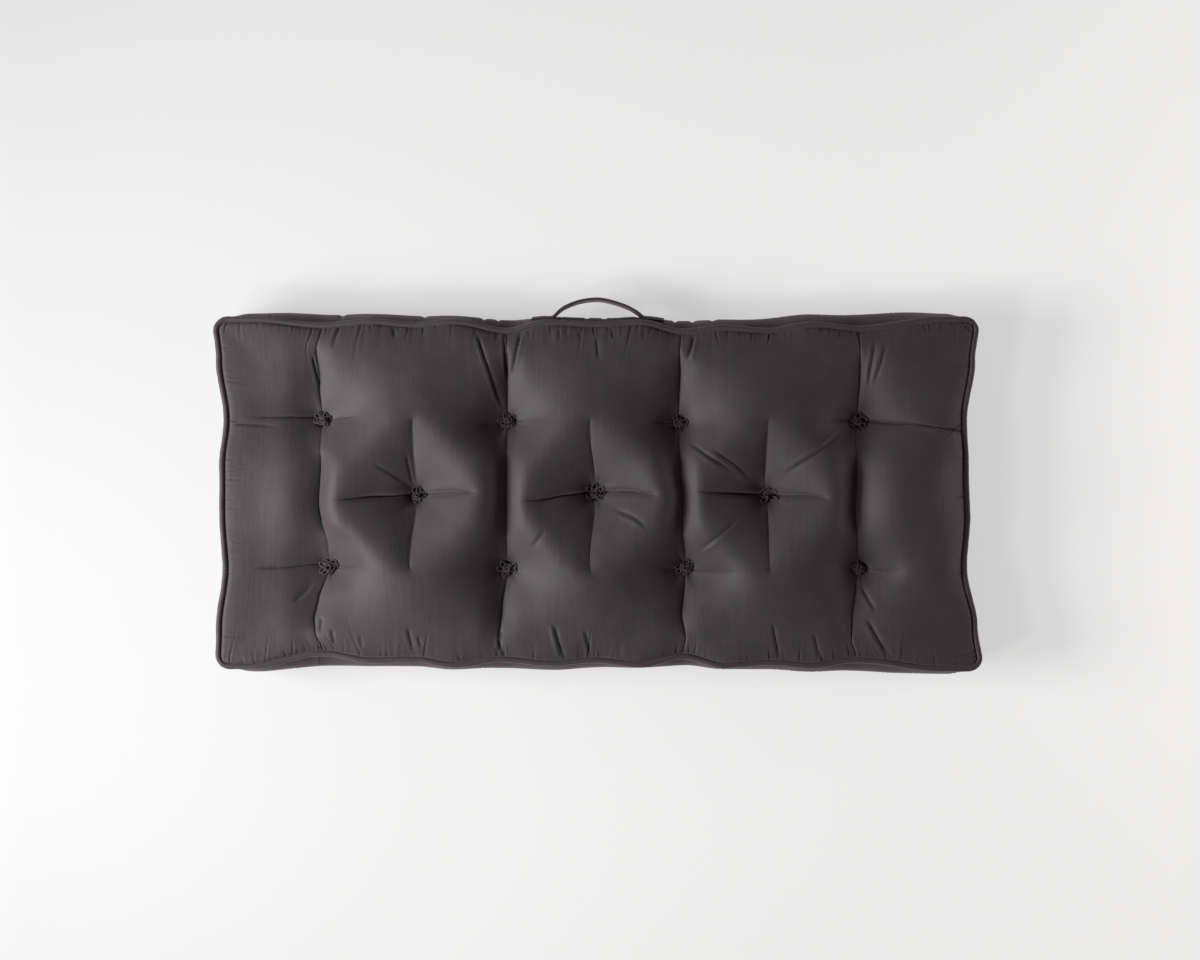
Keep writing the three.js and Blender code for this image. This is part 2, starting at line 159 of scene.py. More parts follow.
# How each tuft column's fold wanders sideways, and each tuft row's creases up and down.
COLUMN_WANDER = {
    0: [(-232, -6), (-205, -11), (-172, -14), (-144, -11), (-100, 0), (-63, 1), (-35, -4), (-7, -7),
        (54, -3), (100, 0), (150, -6), (200, -10), (232, -8)],
    1: [(-89, -7), (0, 0), (61, -3), (95, -3)],
    2: [(-232, -12), (-216, -12), (-158, -7), (-100, 0), (-7, -1), (100, 0), (232, 0)],
    3: [(-89, -7), (-12, -1), (13, -1), (92, -7)],
    4: [(-232, 6), (-216, 6), (-158, 0), (-100, 0), (-60, 0), (-7, 3), (30, -1), (100, 0), (232, -3)],
    5: [(-85, 0), (0, 0), (14, -4), (87, -3)],
    6: [(-232, -12), (-222, -12), (-167, -9), (-123, -4), (-100, 0), (-70, -3), (-20, -5), (31, -3),
        (76, -4), (100, 0), (160, 2), (232, 0)],
}
ROW_WANDER = {
    0: [(-512, -1), (-430, 0), (-381, 3), (-370, 0), (-123, 0), (55, -5), (100, -2), (113, 0),
        (128, -4), (195, -6), (353, 0), (414, -3), (512, -3)],
    1: [(-430, -6), (-354, -8), (-291, -3), (-246, 0), (-186, 3), (-150, 3), (-110, -9), (-79, -8),
        (-43, -3), (-4, 0), (40, 2), (90, -1), (119, 4), (171, 1), (230, 0), (265, -2), (329, -7)],
    2: [(-512, 2), (-462, 4), (-383, 3), (-370, 0), (-323, 4), (-250, 0), (-180, -8), (-135, -5),
        (-123, 0), (113, 0), (353, 0), (420, -6), (491, -15), (512, -17)],
}
# How far to either side a fold's wander is felt.
COLUMN_WANDER_REACH = 45.0
ROW_WANDER_REACH = 28.0

# Creases placed one by one: a path in plan, how deep and wide, and the ridge that stands beside it
# (above 0 on its right or lower side, below 0 on the other).
Crease = namedtuple("Crease", "path depth width ridge")
CREASES = [
    # round the first channel
    Crease([(-386, 190), (-381, 165), (-376, 142)], 1.8, 1.8, 0.6),
    Crease([(-348, 226), (-358, 195)], 1.9, 2.2, 0.5),
    Crease([(-277, 226), (-273, 209)], 2.1, 1.9, 0.5),
    Crease([(-498, 95), (-460, 93), (-426, 91)], 1.7, 1.9, 0.5),
    Crease([(-373, -165), (-375, -188)], 1.5, 1.9, 0.5),
    Crease([(-359, -180), (-355, -206)], 1.7, 1.9, 0.5),
    Crease([(-321, -190), (-317, -210)], 1.5, 1.9, 0.4),
    Crease([(-414, -148), (-398, -134), (-384, -118)], 1.4, 2.5, 0.4),
    # the first cell
    Crease([(-306, 42), (-284, 30), (-260, 14)], 1.6, 1.7, 0.5),
    Crease([(-258, 56), (-255, 34), (-250, 6)], 1.5, 1.8, 0.1),
    Crease([(-256, -178), (-248, -215)], 1.9, 2.2, 0.5),
    Crease([(-242, -190), (-238, -208)], 1.4, 1.9, 0.4),
    # the open folds behind the second channel
    Crease([(-166, 224), (-152, 181), (-136, 132), (-127, 112)], 4.0, 1.9, 1.4),
    Crease([(-127, 214), (-125, 180), (-123, 150)], 3.2, 1.6, 0.9),
    Crease([(-103, 224), (-110, 192), (-119, 155)], 3.6, 1.8, -1.0),
    Crease([(-130, -180), (-134, -218)], 2.1, 1.9, 0.6),
    Crease([(-137, 228), (-138, 205)], 1.7, 1.9, 0.5),
    # the middle cell
    Crease([(20, -20), (46, -30), (60, -40), (68, -50)], 1.7, 2.5, 1.0),
    Crease([(-70, -48), (-90, -74)], 1.4, 3.1, 0.5),
    Crease([(-60, -172), (-54, -196), (-45, -226)], 2.5, 2.5, 1.5),
    Crease([(-18, -180), (-9, -222)], 2.0, 2.2, 0.7),
    Crease([(17, 226), (20, 208)], 2.1, 1.6, 0.4),
    Crease([(-2, 212), (1, 178)], 1.5, 2.2, 0.5),
    # round the third channel
    Crease([(130, 218), (126, 198), (119, 178)], 3.0, 2.2, -1.2),
    # the third cell, with its crossing drag lines
    Crease([(121, 71), (150, 49), (181, 29)], 2.4, 2.2, 1.0),
    Crease([(150, 62), (180, 41), (211, 15)], 2.4, 2.2, 1.0),
    Crease([(247, 24), (290, 53), (335, 89)], 2.0, 2.5, -0.9),
    Crease([(133, -80), (163, -55), (193, -28)], 2.0, 2.5, 0.8),
    Crease([(234, -171), (245, -227)], 2.2, 2.2, 0.8),
    Crease([(289, -185), (300, -227)], 2.0, 2.2, 0.7),
    # round the fourth channel
    Crease([(374, 214), (368, 165), (366, 138)], 1.6, 2.2, 0.9),
    Crease([(389, 206), (380, 172), (372, 144)], 1.5, 2.2, 0.8),
    Crease([(425, 95.5), (445, 92), (470, 87.5), (505, 84), (530, 82)], 3.2, 1.5, 0.4),
    Crease([(356, -124), (376, -162)], 1.9, 2.2, 0.6),
    Crease([(361, -165), (379, -199), (398, -226)], 2.7, 2.5, 1.0),
    Crease([(492, 229), (506, 215)], 1.7, 1.9, 0.3),
    # at the back, beside the handle
    Crease([(-53, 224), (-52, 204)], 1.4, 1.5, 0.5),
    Crease([(-45, 225), (-46, 214)], 1.2, 1.3, 0.4),
    Crease([(-27, 225), (-25, 207)], 1.3, 1.4, 0.4),
    Crease([(61, 225), (60, 206)], 1.4, 1.5, 0.5),
    Crease([(87, 224), (88, 212)], 1.2, 1.3, -0.4),
]


# ---------------------------------------------------------------- small tools
def smooth(t):
    t = np.clip(t, 0, 1)
    return t * t * (3 - 2 * t)


def eased(pairs, at):
    """The value at a place of a curve given as (place, value) pairs, eased between them."""
    places, values = (np.array(column, float) for column in zip(*pairs))
    k = np.clip(np.searchsorted(places, at) - 1, 0, len(places) - 2)
    share = (at - places[k]) / (places[k + 1] - places[k])
    return values[k] + (values[k + 1] - values[k]) * smooth(share)


def soft_noise(u, v, seed):
    """Smooth noise between -1 and 1 with features about 1 across."""
    lattice = np.random.default_rng(seed).uniform(-1, 1, (64, 64))
    i, j = np.floor(u).astype(int), np.floor(v).astype(int)
    fu, fv = smooth(u - i), smooth(v - j)
    low = lattice[i % 64, j % 64] * (1 - fu) + lattice[(i + 1) % 64, j % 64] * fu
    high = lattice[i % 64, (j + 1) % 64] * (1 - fu) + lattice[(i + 1) % 64, (j + 1) % 64] * fu
    return low * (1 - fv) + high * fv


def hump(place):
    """A smooth bump round 0 with a height of 1."""
    return np.exp(-(place**2))


def bell(place):
    """A smooth bump round 0 with an area of 1."""
    return hump(place) / math.sqrt(math.pi)


def groove(place, lip, lip_at, lip_width=1.0):
    """A groove round 0 with a depth of 1 and a raised lip on both sides."""
    return hump(place) - lip * hump((abs(place) - lip_at) / lip_width)


def running_total(steps):
    return np.concatenate([[0], np.cumsum(steps)])


def from_tuft(tuft, x, y):
    """How far grid points lie from a tuft, along the cushion and across it."""
    return x - COLUMNS[tuft.column].x, y - ROWS[tuft.row]


def from_edge(x, y):
    """How far grid points lie from the nearest seam."""
    return np.minimum(HALF_LENGTH - abs(x), HALF_DEPTH - abs(y))


def cad_middle(node):
    low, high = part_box(node)
    return (low + high) / 2


# ---------------------------------------------------------------- the plan
BACK_SEAM = sorted((row.x, row.back) for row in COLUMNS + SWELLS)
FRONT_SEAM = sorted((row.x, row.front) for row in COLUMNS + SWELLS)
LEFT_SEAM = [(row.y, row.left) for row in END_SEAMS]
RIGHT_SEAM = [(row.y, row.right) for row in END_SEAMS]


def long_inset(x, side):
    return np.where(side > 0, eased(BACK_SEAM, x), eased(FRONT_SEAM, x))


def end_inset(y, side):
    return np.where(side > 0, eased(RIGHT_SEAM, y), eased(LEFT_SEAM, y))


def rounding(distance):
    """How a point at a distance from the corner moves along and in from its edge to round it."""
    angle = np.maximum(0, 1 - distance / CORNER_RADIUS) * (math.pi / 4)
    along = np.where(angle > 0, CORNER_RADIUS * (1 - np.sin(angle)) - distance, 0)
    return along, CORNER_RADIUS * (1 - np.cos(angle))


def plan_of(x, y):
    """Where grid points lie in plan: the straight grid, moved to the uneven outline, the tufts'
    places and the wandering folds."""
    side_x, side_y = np.where(x < 0, -1, 1), np.where(y < 0, -1, 1)
    from_end, from_long = HALF_LENGTH - abs(x), HALF_DEPTH - abs(y)
    near_end = 1 - smooth(from_end / OUTLINE_FADE)
    near_long = 1 - smooth(from_long / OUTLINE_FADE)
    long_along, long_in = rounding(from_end)
    end_along, end_in = rounding(from_long)
    corner_round = rounding(np.zeros(1))[1][0]
    corner_x = corner_round + end_inset(side_y * HALF_DEPTH, side_x)
    corner_y = corner_round + long_inset(side_x * HALF_LENGTH, side_y)
    long_x = long_along + near_end * (corner_x - corner_round)
    long_y = long_in + long_inset(x, side_y)
    end_x = end_in + end_inset(y, side_x)
    end_y = end_along + near_long * (corner_y - corner_round)
    both = near_end * near_long
    px = x - side_x * (near_long * long_x + near_end * end_x - both * corner_x)
    py = y - side_y * (near_long * long_y + near_end * end_y - both * corner_y)
    for tuft in TUFTS:
        away = np.hypot(*from_tuft(tuft, x, y))
        pull = 1 - smooth((away - TUFT_PAD) / TUFT_FADE)
        px = px + pull * tuft.dx
        py = py + pull * tuft.dy
    inside = smooth(from_long / 30) * smooth(from_end / 30)
    for column, wander in COLUMN_WANDER.items():
        near = hump((x - COLUMNS[column].x) / COLUMN_WANDER_REACH)
        px = px + near * (0.4 + 0.6 * inside) * eased_or_zero(wander, y) * smooth(from_end / 30)
    for row, wander in ROW_WANDER.items():
        near = hump((y - ROWS[row]) / ROW_WANDER_REACH)
        py = py + near * inside * eased_or_zero(wander, x)
    return px, py


def eased_or_zero(pairs, at):
    """As eased, but fading to 0 past either end of the curve."""
    fade = 40.0
    pairs = [(pairs[0][0] - fade, 0), *pairs, (pairs[-1][0] + fade, 0)]
    return eased(pairs, np.clip(at, pairs[0][0], pairs[-1][0]))


def graded_lines(marks, near, cells):
    """Grid lines through every mark, closer together near some places. near holds
    (place, extra density, reach) rows. Each span gets a count of cells that halves three times."""
    fine = np.linspace(marks[0], marks[-1], 8001)
    density = np.ones_like(fine)
    for place, extra, reach in near:
        density += extra * hump((fine - place) / reach)
    total = running_total((density[1:] + density[:-1]) / 2)
    at_marks = np.interp(marks, fine, total)
    lines = [marks[0]]
    for low, high in zip(at_marks[:-1], at_marks[1:]):
        count = 8 * max(1, round(cells / 8 * (high - low) / total[-1]))
        lines.extend(np.interp(np.linspace(low, high, count + 1)[1:], total, fine))
    return np.array(lines)


def grid_lines(cells_x, cells_y):
    xs = graded_lines(
        [-HALF_LENGTH, *(column.x for column in COLUMNS), HALF_LENGTH],
        [(column.x, 1.5, 9) for column in COLUMNS]
        + [(-HALF_LENGTH, 1.2, 12), (HALF_LENGTH, 1.2, 12)],
        cells_x,
    )
    ys = graded_lines(
        [-HALF_DEPTH, *ROWS, HALF_DEPTH],
        [(row, 1.5, 9) for row in ROWS] + [(-HALF_DEPTH, 1.2, 12), (HALF_DEPTH, 1.2, 12)],
        cells_y,
    )
    return xs, ys


# ---------------------------------------------------------------- the covers' heights
def filling_push(x, y, most):
    """How hard the filling pushes the cover out, as a curvature. It pushes less in the left end
    panel, past the outer rows and on the flat facets round each tuft. It pushes more on the ridge
    round the middle tufts, beside the channels and at the seams."""
    push = most * (1 - END_SLACK * smooth((COLUMNS[0].x - x) / END_SLACK_FADE))
    push *= 1 - OUTER_SLACK * smooth((abs(y) - ROWS[2]) / END_SLACK_FADE)
    held = 1 - SHOULDER_LOSS * smooth((abs(y) - ROWS[2]) / SHOULDER_FADE)
    for column in CHANNELS:
        for side, shoulder in ((-1, column.left), (1, column.right)):
            width = SHOULDER_WIDTH * shoulder
            turn = held * SHOULDER_TURN * bell((side * (x - column.x) - shoulder) / width) / width
            push += np.where(side * (x - column.x) > 0, turn, 0)
    for tuft in TUFTS:
        dx, dy = from_tuft(tuft, x, y)
        middle = tuft.row == 1
        wide = np.where(dx < 0, tuft.left, tuft.right) if middle else OUTER_FACET
        deep = COLUMN_CREASE_REACH if middle else OUTER_FACET
        out = abs(dx / wide) ** FACET_ROUNDNESS + abs(dy / deep) ** FACET_ROUNDNESS
        out = out ** (1 / FACET_ROUNDNESS)
        flatness = np.where(dx < 0, LEFT_FLATNESS, RIGHT_FLATNESS) if middle else OUTER_FLATNESS
        push *= 1 - flatness * smooth((1 - out) / FACET_EASE)
        if middle:
            push += np.where(dx < 0, LEFT_RIDGE, RIGHT_RIDGE) * hump((out - 1) / RIDGE_WIDTH)
    return push + EDGE_PUSH * np.exp(-from_edge(x, y) / EDGE_REACH) - valley_bend(x, y)


def valley_bend(x, y):
    """The curvature that the soft valleys along the outer rows give the cover."""
    bend = np.zeros_like(x)
    for tuft in TUFTS:
        if tuft.row == 1:
            continue
        dx, dy = from_tuft(tuft, x, y)
        along = np.clip(1 - abs(dx) / VALLEY_REACH, 0, 1)
        across = bell(dy / VALLEY_WIDTH) / VALLEY_WIDTH
        bend = np.maximum(bend, VALLEY_TURN * along * across)
    return bend


def crease_ceiling(x, y, cover):
    """How high the cover can stand: along the creases it rises from the tufts."""
    ceiling = np.full(x.shape, cover.most)
    for column in CHANNELS:
        on_channel = np.isclose(x, column.x) & (abs(y) < ROWS[2])
        ceiling = np.where(on_channel, np.minimum(ceiling, cover.channel), ceiling)
    for tuft in TUFTS:
        dx, dy = from_tuft(tuft, x, y)
        middle = tuft.row == 1
        reach = np.where(dx < 0, tuft.left, tuft.right)
        on_row = np.isclose(dy, 0) & (abs(dx) < reach)
        on_column = np.isclose(dx, 0) & (abs(dy) < COLUMN_CREASE_REACH)
        outwards = dy * ROWS[tuft.row] > 0
        away = abs(dx) + abs(dy)
        if middle:
            whole = np.where(on_row, reach, COLUMN_CREASE_REACH)
            rise = MIDDLE_RISE * (away / whole) ** MIDDLE_EASE
        else:
            along_row = ROW_SLOPE * away + ROW_RELEASE * (away / reach) ** 3
            on_channel = np.where(outwards, OUTWARD_SLOPE, CHANNEL_SLOPE) * away
            rise = np.where(on_row, along_row, on_channel)
        held = on_row | on_column
        ceiling = np.where(held, np.minimum(ceiling, cover.tuft + rise), ceiling)
    return ceiling


Cover = namedtuple("Cover", "seam_z out tuft channel push most")
TOP = Cover(TOP_SEAM_Z, 1, -22.0, -3.0, 0.0085, 60.0)
UNDER = Cover(UNDER_SEAM_Z, -1, 6.0, 14.0, 0.009, UNDER_SEAM_Z)
FINE_PAD = 9.0
# For each pass, how many grid lines apart its points are, and its count of sweeps.
LEVELS = ((4, 500), (2, 160), (1, 80))


def settle(xs, ys, cover):
    """Heights above the seam at which the cover's curvature balances the filling's push. They are
    found on every fourth grid line, then on every second one, then on all of them."""
    height = None
    for skip, sweeps in LEVELS:
        coarse_xs, coarse_ys = xs[::skip], ys[::skip]
        if height is None:
            start = np.zeros((len(coarse_xs), len(coarse_ys)))
        else:
            start = halved_steps(halved_steps(height).T).T
        height = balance(coarse_xs, coarse_ys, cover, start, sweeps)
    return height


def halved_steps(rows):
    """Rows with one more halfway between each two."""
    doubled = np.empty((2 * len(rows) - 1, rows.shape[1]))
    doubled[::2] = rows
    doubled[1::2] = (rows[:-1] + rows[1:]) / 2
    return doubled


def balance(xs, ys, cover, height, sweeps):
    """Over-relaxed sweeps over the grid's points, every second one in turn like a chessboard."""
    x, y = np.meshgrid(xs, ys, indexing="ij")
    west, east = np.diff(xs)[:-1, None], np.diff(xs)[1:, None]
    south, north = np.diff(ys)[None, :-1], np.diff(ys)[None, 1:]
    pull_w, pull_e = 2 / (west * (west + east)), 2 / (east * (west + east))
    pull_s, pull_n = 2 / (south * (south + north)), 2 / (north * (south + north))
    total = pull_w + pull_e + pull_s + pull_n
    inner_x, inner_y = x[1:-1, 1:-1], y[1:-1, 1:-1]
    push = filling_push(inner_x, inner_y, cover.push)
    ceiling = crease_ceiling(inner_x, inner_y, cover)
    height[:, 0], height[:, -1] = (-SEAM_DIP * long_inset(xs, side) for side in (-1, 1))
    height[0], height[-1] = (-SEAM_DIP * end_inset(ys, side) for side in (-1, 1))
    free = np.ones_like(push)
    for tuft in TUFTS:
        held = np.hypot(*from_tuft(tuft, x, y)) < FINE_PAD
        height[held] = cover.tuft
        free[held[1:-1, 1:-1]] = 0
    overshoot = 2 / (1 + math.sin(math.pi / len(ys)))
    inner = height[1:-1, 1:-1]
    for _ in range(sweeps):
        for i, j in ((0, 0), (1, 1), (0, 1), (1, 0)):
            here = (slice(i, None, 2), slice(j, None, 2))
            rows, columns = here
            pulled = pull_w[rows] * height[:-2, 1:-1][here] + pull_e[rows] * height[2:, 1:-1][here]
            pulled += pull_s[:, columns] * height[1:-1, :-2][here]
            pulled += pull_n[:, columns] * height[1:-1, 2:][here]
            change = (pulled + push[here]) / total[here] - inner[here]
            inner[here] = np.minimum(ceiling[here], inner[here] + overshoot * free[here] * change)
    return height


# ---------------------------------------------------------------- fine relief: creases and puckers
def path_distance(px, py, path):
    """Signed distance to a path of straight stretches, above 0 on its left, and the share of the
    path's length at the nearest point."""
    points = np.array(path, float)
    steps = np.diff(points, axis=0)
    lengths = np.hypot(steps[:, 0], steps[:, 1])
    starts = running_total(lengths)
    best = np.full(px.shape, 1e9)
    signed, share = np.zeros(px.shape), np.zeros(px.shape)
    for (x0, y0), (ex, ey), length, start in zip(points, steps / lengths[:, None], lengths, starts):
        along = np.clip((px - x0) * ex + (py - y0) * ey, 0, length)
        off_x, off_y = px - x0 - along * ex, py - y0 - along * ey
        off = np.hypot(off_x, off_y)
        nearer = off < best
        side = np.where(ex * off_y - ey * off_x < 0, -1, 1)
        best = np.where(nearer, off, best)
        signed = np.where(nearer, side * off, signed)
        share = np.where(nearer, (start + along) / starts[-1], share)
    return signed, share


# A crease's trough, and where its ridge stands and how wide it is, in widths of the crease.
TROUGH_SHARPNESS = 1.15
RIDGE_AT = 1.9
RIDGE_SPREAD = 1.1


def crease_relief(px, py):
    """The listed creases: a trough along each path with a ridge beside it."""
    relief = np.zeros(px.shape)
    for crease in CREASES:
        xs, ys = np.array(crease.path).T
        reach = 7 * crease.width
        near = (px > xs.min() - reach) & (px < xs.max() + reach)
        near &= (py > ys.min() - reach) & (py < ys.max() + reach)
        signed, share = path_distance(px[near], py[near], crease.path)
        taper = smooth(share / 0.25) * smooth((1 - share) / 0.35)
        trough = np.exp(-((abs(signed) / crease.width) ** TROUGH_SHARPNESS))
        beside = -signed * np.sign(crease.ridge) / crease.width
        ridge = abs(crease.ridge) * hump((beside - RIDGE_AT) / RIDGE_SPREAD)
        relief[near] += taper * (ridge - crease.depth * trough)
    return relief


RowFold = namedtuple("RowFold", "tuft left right")
# How deep the sharp fold along each tuft's row is cut, to its left and to its right.
ROW_FOLDS = [
    RowFold("front_1", 3.6, 1.2),
    RowFold("front_2", 0.5, 0.5),
    RowFold("front_3", 0.6, 1.0),
    RowFold("front_4", 0.6, 0.8),
    RowFold("middle_1", 11.0, 10.0),
    RowFold("middle_2", 11.0, 9.5),
    RowFold("middle_3", 11.0, 9.5),
    RowFold("back_1", 3.6, 1.2),
    RowFold("back_2", 0.7, 0.6),
    RowFold("back_3", 0.7, 0.5),
    RowFold("back_4", 1.0, 5.0),
]
# How deep the fold along a column is: in a channel, in it past the outer rows, and elsewhere.
CHANNEL_FOLD = 0.8
OUTER_CHANNEL_FOLD = 2.0
OUTER_FOLD_FADE = 40.0
SHORT_COLUMN_FOLD = 0.8
SHORT_FOLD_REACH = 85.0
FOLD_WIDTH = 1.3
FOLD_SHARPNESS = 1.3
# A row's fold has its full depth from 1 / FOLD_TAPER of the way in from its end.
FOLD_TAPER = 1.9
# How much wider a fold is for each mm it is deep.
FOLD_OPENING = 0.09


def fold_relief(x, y):
    """The sharp folds at the bottom of the channels and of the tufts' creases."""
    relief = np.zeros(x.shape)
    for column in COLUMNS:
        cut = np.exp(-abs(x - column.x) / FOLD_WIDTH)
        if column in CHANNELS:
            outer = smooth((abs(y) - ROWS[2]) / OUTER_FOLD_FADE)
            depth = CHANNEL_FOLD + (OUTER_CHANNEL_FOLD - CHANNEL_FOLD) * outer
        else:
            depth = SHORT_COLUMN_FOLD * smooth(1.2 - abs(y) / SHORT_FOLD_REACH)
        relief = np.maximum(relief, depth * cut)
    for fold, tuft in zip(ROW_FOLDS, TUFTS):
        dx, dy = from_tuft(tuft, x, y)
        depth = np.where(dx < 0, fold.left, fold.right)
        reach = np.where(dx < 0, tuft.left, tuft.right)
        depth = depth * smooth(FOLD_TAPER * (1 - abs(dx) / reach))
        width = FOLD_WIDTH * (1 + FOLD_OPENING * depth)
        cut = np.exp(-((abs(dy) / width) ** FOLD_SHARPNESS))
        relief = np.maximum(relief, depth * cut)
    return -relief


# How far from a tuft its wrinkles begin, have their full depth and are cut off.
WRINKLE_FROM, WRINKLE_FULL, WRINKLE_END = 6, 12, 70


def tuft_wrinkles(px, py, depth, seed):
    """Short drag wrinkles that fan out from each tuft, counter-clockwise from a random heading to
    about +X."""
    dice = np.random.default_rng(seed)
    relief = np.zeros(px.shape)
    for tuft in TUFTS:
        x, y = tuft_place(tuft)
        near = np.hypot(px - x, py - y) < WRINKLE_END
        dx, dy = px[near] - x, py[near] - y
        away, angle = np.hypot(dx, dy), np.arctan2(dy, dx)
        spoke = dice.uniform(0, 2 * math.pi)
        while True:
            off = (angle - spoke + math.pi) % (2 * math.pi) - math.pi
            width = dice.uniform(0.07, 0.13)
            reach = dice.uniform(9, 22)
            strength = depth * dice.uniform(0.4, 1.2)
            fade = smooth((away - WRINKLE_FROM) / (WRINKLE_FULL - WRINKLE_FROM))
            fade = fade * np.exp(-np.maximum(away - WRINKLE_FULL, 0) / reach)
            relief[near] -= strength * fade * groove(off / width, 0.45, 2)
            spoke += dice.uniform(0.35, 0.75)
            if spoke > 2 * math.pi + dice.uniform(0, 0.4):
                break
    return relief


def tuft_place(tuft):
    x, y = plan_of(np.array([float(COLUMNS[tuft.column].x)]), np.array([float(ROWS[tuft.row])]))
    return x[0], y[0]


Pucker = namedtuple("Pucker", "at depth width reach slant")


def seam_puckers(length, seed):
    """Puckers along a seam of this length, at uneven steps."""
    dice = np.random.default_rng(seed)
    puckers, at = [], -length / 2 + 14
    while at < length / 2 - 14:
        reach = dice.choice([5, 9, 14, 22, 34], p=[0.3, 0.3, 0.22, 0.12, 0.06])
        depth = dice.uniform(0.6, 1.1) * min(1.6, 0.8 + reach / 20)
        puckers.append(Pucker(at, depth, dice.uniform(0.8, 1.5), reach, dice.uniform(-0.25, 0.25)))
        at += dice.uniform(6, 21)
    return puckers


def pucker_relief(along, from_seam, puckers):
    """What a seam's puckers take off a surface, at places along the seam and away from it."""
    relief = np.zeros(np.broadcast(along, from_seam).shape)
    for pucker in puckers:
        near = (abs(along - pucker.at) < 22) & (from_seam < 3 * pucker.reach)
        off = (along - pucker.at - pucker.slant * from_seam)[near] / pucker.width
        away = from_seam[near]
        depth = pucker.depth * smooth(away / 2.0) * hump(away / pucker.reach)
        relief[near] -= depth * groove(off, 0.4, 1.9, 0.9)
    return relief


def cover_puckers(x, y, seed):
    """The puckers beside all four seams of a cover."""
    relief = np.zeros(x.shape)
    sides = [
        (x, HALF_DEPTH - y, 2 * HALF_LENGTH),
        (x, HALF_DEPTH + y, 2 * HALF_LENGTH),
        (y, HALF_LENGTH - x, 2 * HALF_DEPTH),
        (y, HALF_LENGTH + x, 2 * HALF_DEPTH),
    ]
    for n, (along, from_seam, length) in enumerate(sides):
        relief += pucker_relief(along, from_seam, seam_puckers(length, seed + n))
    return relief


GATHER_DEPTH = 0.6
GATHER_REACH = 30.0


def gathers(x, y, seed):
    """Fine gathers that run in from the long seams, in patches."""
    from_seam = HALF_DEPTH - abs(y)
    side = 20.5 + 7 * np.sign(y)  # a place in the noise for each long seam
    full = smooth(0.55 + 0.9 * soft_noise(x / 70 + 20, side, seed))
    lean = x + 6 * soft_noise(x / 50 + 20, side, seed + 1) * from_seam / GATHER_REACH
    folds = soft_noise(lean / 7.3 + 80, from_seam / 40 + side, seed + 2)
    folds = folds + 0.6 * soft_noise(lean / 4.1 + 150, from_seam / 30 + side, seed + 3)
    return GATHER_DEPTH * full * folds * hump(from_seam / GATHER_REACH)


def filling_lumps(px, py, seed):
    """How uneven the filling makes a cover."""
    broad = soft_noise(px / 62 + 20, py / 55 + 20, seed)
    fine = soft_noise(px / 23 + 30, py / 21 + 30, seed + 1)
    return 1.1 * broad + 0.35 * fine


# ---------------------------------------------------------------- the cushion's surface
def grid_normals(points):
    along_x = np.gradient(points, axis=0)
    along_y = np.gradient(points, axis=1)
    normals = np.cross(along_x, along_y)
    return normals / np.linalg.norm(normals, axis=-1, keepdims=True)


# How the cover rolls up beside its seam: how high, how soon, and where that has faded out.
ROLL_HEIGHT = 4.0
ROLL_REACH = 1.4
ROLL_FADE = 40.0


def cover_points(xs, ys, cover, relief_of):
    x, y = np.meshgrid(xs, ys, indexing="ij")
    px, py = plan_of(x, y)
    from_seam = from_edge(x, y)
    roll = ROLL_HEIGHT * (1 - np.exp(-from_seam / ROLL_REACH)) * hump(from_seam / ROLL_FADE)
    height = np.minimum(settle(xs, ys, cover) + roll, cover.most)
    points = np.stack([px, py, cover.seam_z + cover.out * height], axis=-1)
    inside = smooth(from_seam / 3)
    soft, folds = relief_of(x, y, px, py)
    points += cover.out * grid_normals(points) * (inside * soft)[..., None]
    points[..., 2] += cover.out * inside * folds
    return points


def top_relief(x, y, px, py):
    """What stands out from the top cover along its normals, and the folds cut straight down."""
    soft = filling_lumps(px, py, 3) + crease_relief(px, py) + tuft_wrinkles(px, py, 0.45, 5)
    return soft + cover_puckers(x, y, 40) + gathers(x, y, 70), fold_relief(x, y)


def under_relief(x, y, px, py):
    soft = 0.5 * filling_lumps(px, py, 9) + tuft_wrinkles(px, py, 0.4, 15) + cover_puckers(x, y, 60)
    return soft, np.zeros(x.shape)


def ring_indices(shape):
    """Grid indices round a cover's edge, counter-clockwise from its front left corner."""
    last_i, last_j = shape[0] - 1, shape[1] - 1
    up_i, down_i = np.arange(last_i), np.arange(last_i, 0, -1)
    up_j, down_j = np.arange(last_j), np.arange(last_j, 0, -1)
    i = [up_i, np.full(last_j, last_i), down_i, np.zeros(last_j, int)]
    j = [np.zeros(last_i, int), up_j, np.full(last_i, last_j), down_j]
    return np.concatenate(i), np.concatenate(j)


def ring_outward(ring):
    """Outward direction in plan at each point of a closed ring."""
    along = np.roll(ring, -1, axis=0) - np.roll(ring, 1, axis=0)
    outward = np.stack([along[:, 1], -along[:, 0], np.zeros(len(ring))], axis=1)
    return outward / np.linalg.norm(outward, axis=1, keepdims=True)


# How far the band's middle stands out past its seams along the back and the front.
Bulge = namedtuple("Bulge", "x back front")
BULGES = [
    Bulge(-512, 8, 8),
    Bulge(-475, 14, 12),
    Bulge(-420, 17, 12),
    Bulge(-300, 15, 8),
    Bulge(-180, 12, 10),
    Bulge(-60, 10.5, 10.5),
    Bulge(60, 11, 8),
    Bulge(170, 10.5, 9),
    Bulge(270, 15.5, 12),
    Bulge(400, 18, 14.5),
    Bulge(475, 14, 13.5),
    Bulge(512, 8, 8),
]
BACK_BULGE = [(row.x, row.back) for row in BULGES]
FRONT_BULGE = [(row.x, row.front) for row in BULGES]
END_BULGE = [(-HALF_DEPTH, 8), (-170, 10), (170, 10), (HALF_DEPTH, 8)]
# The share of a seam's inset that the band's middle makes up for.
BAND_EVENING = 0.6
BAND_ROWS = 20


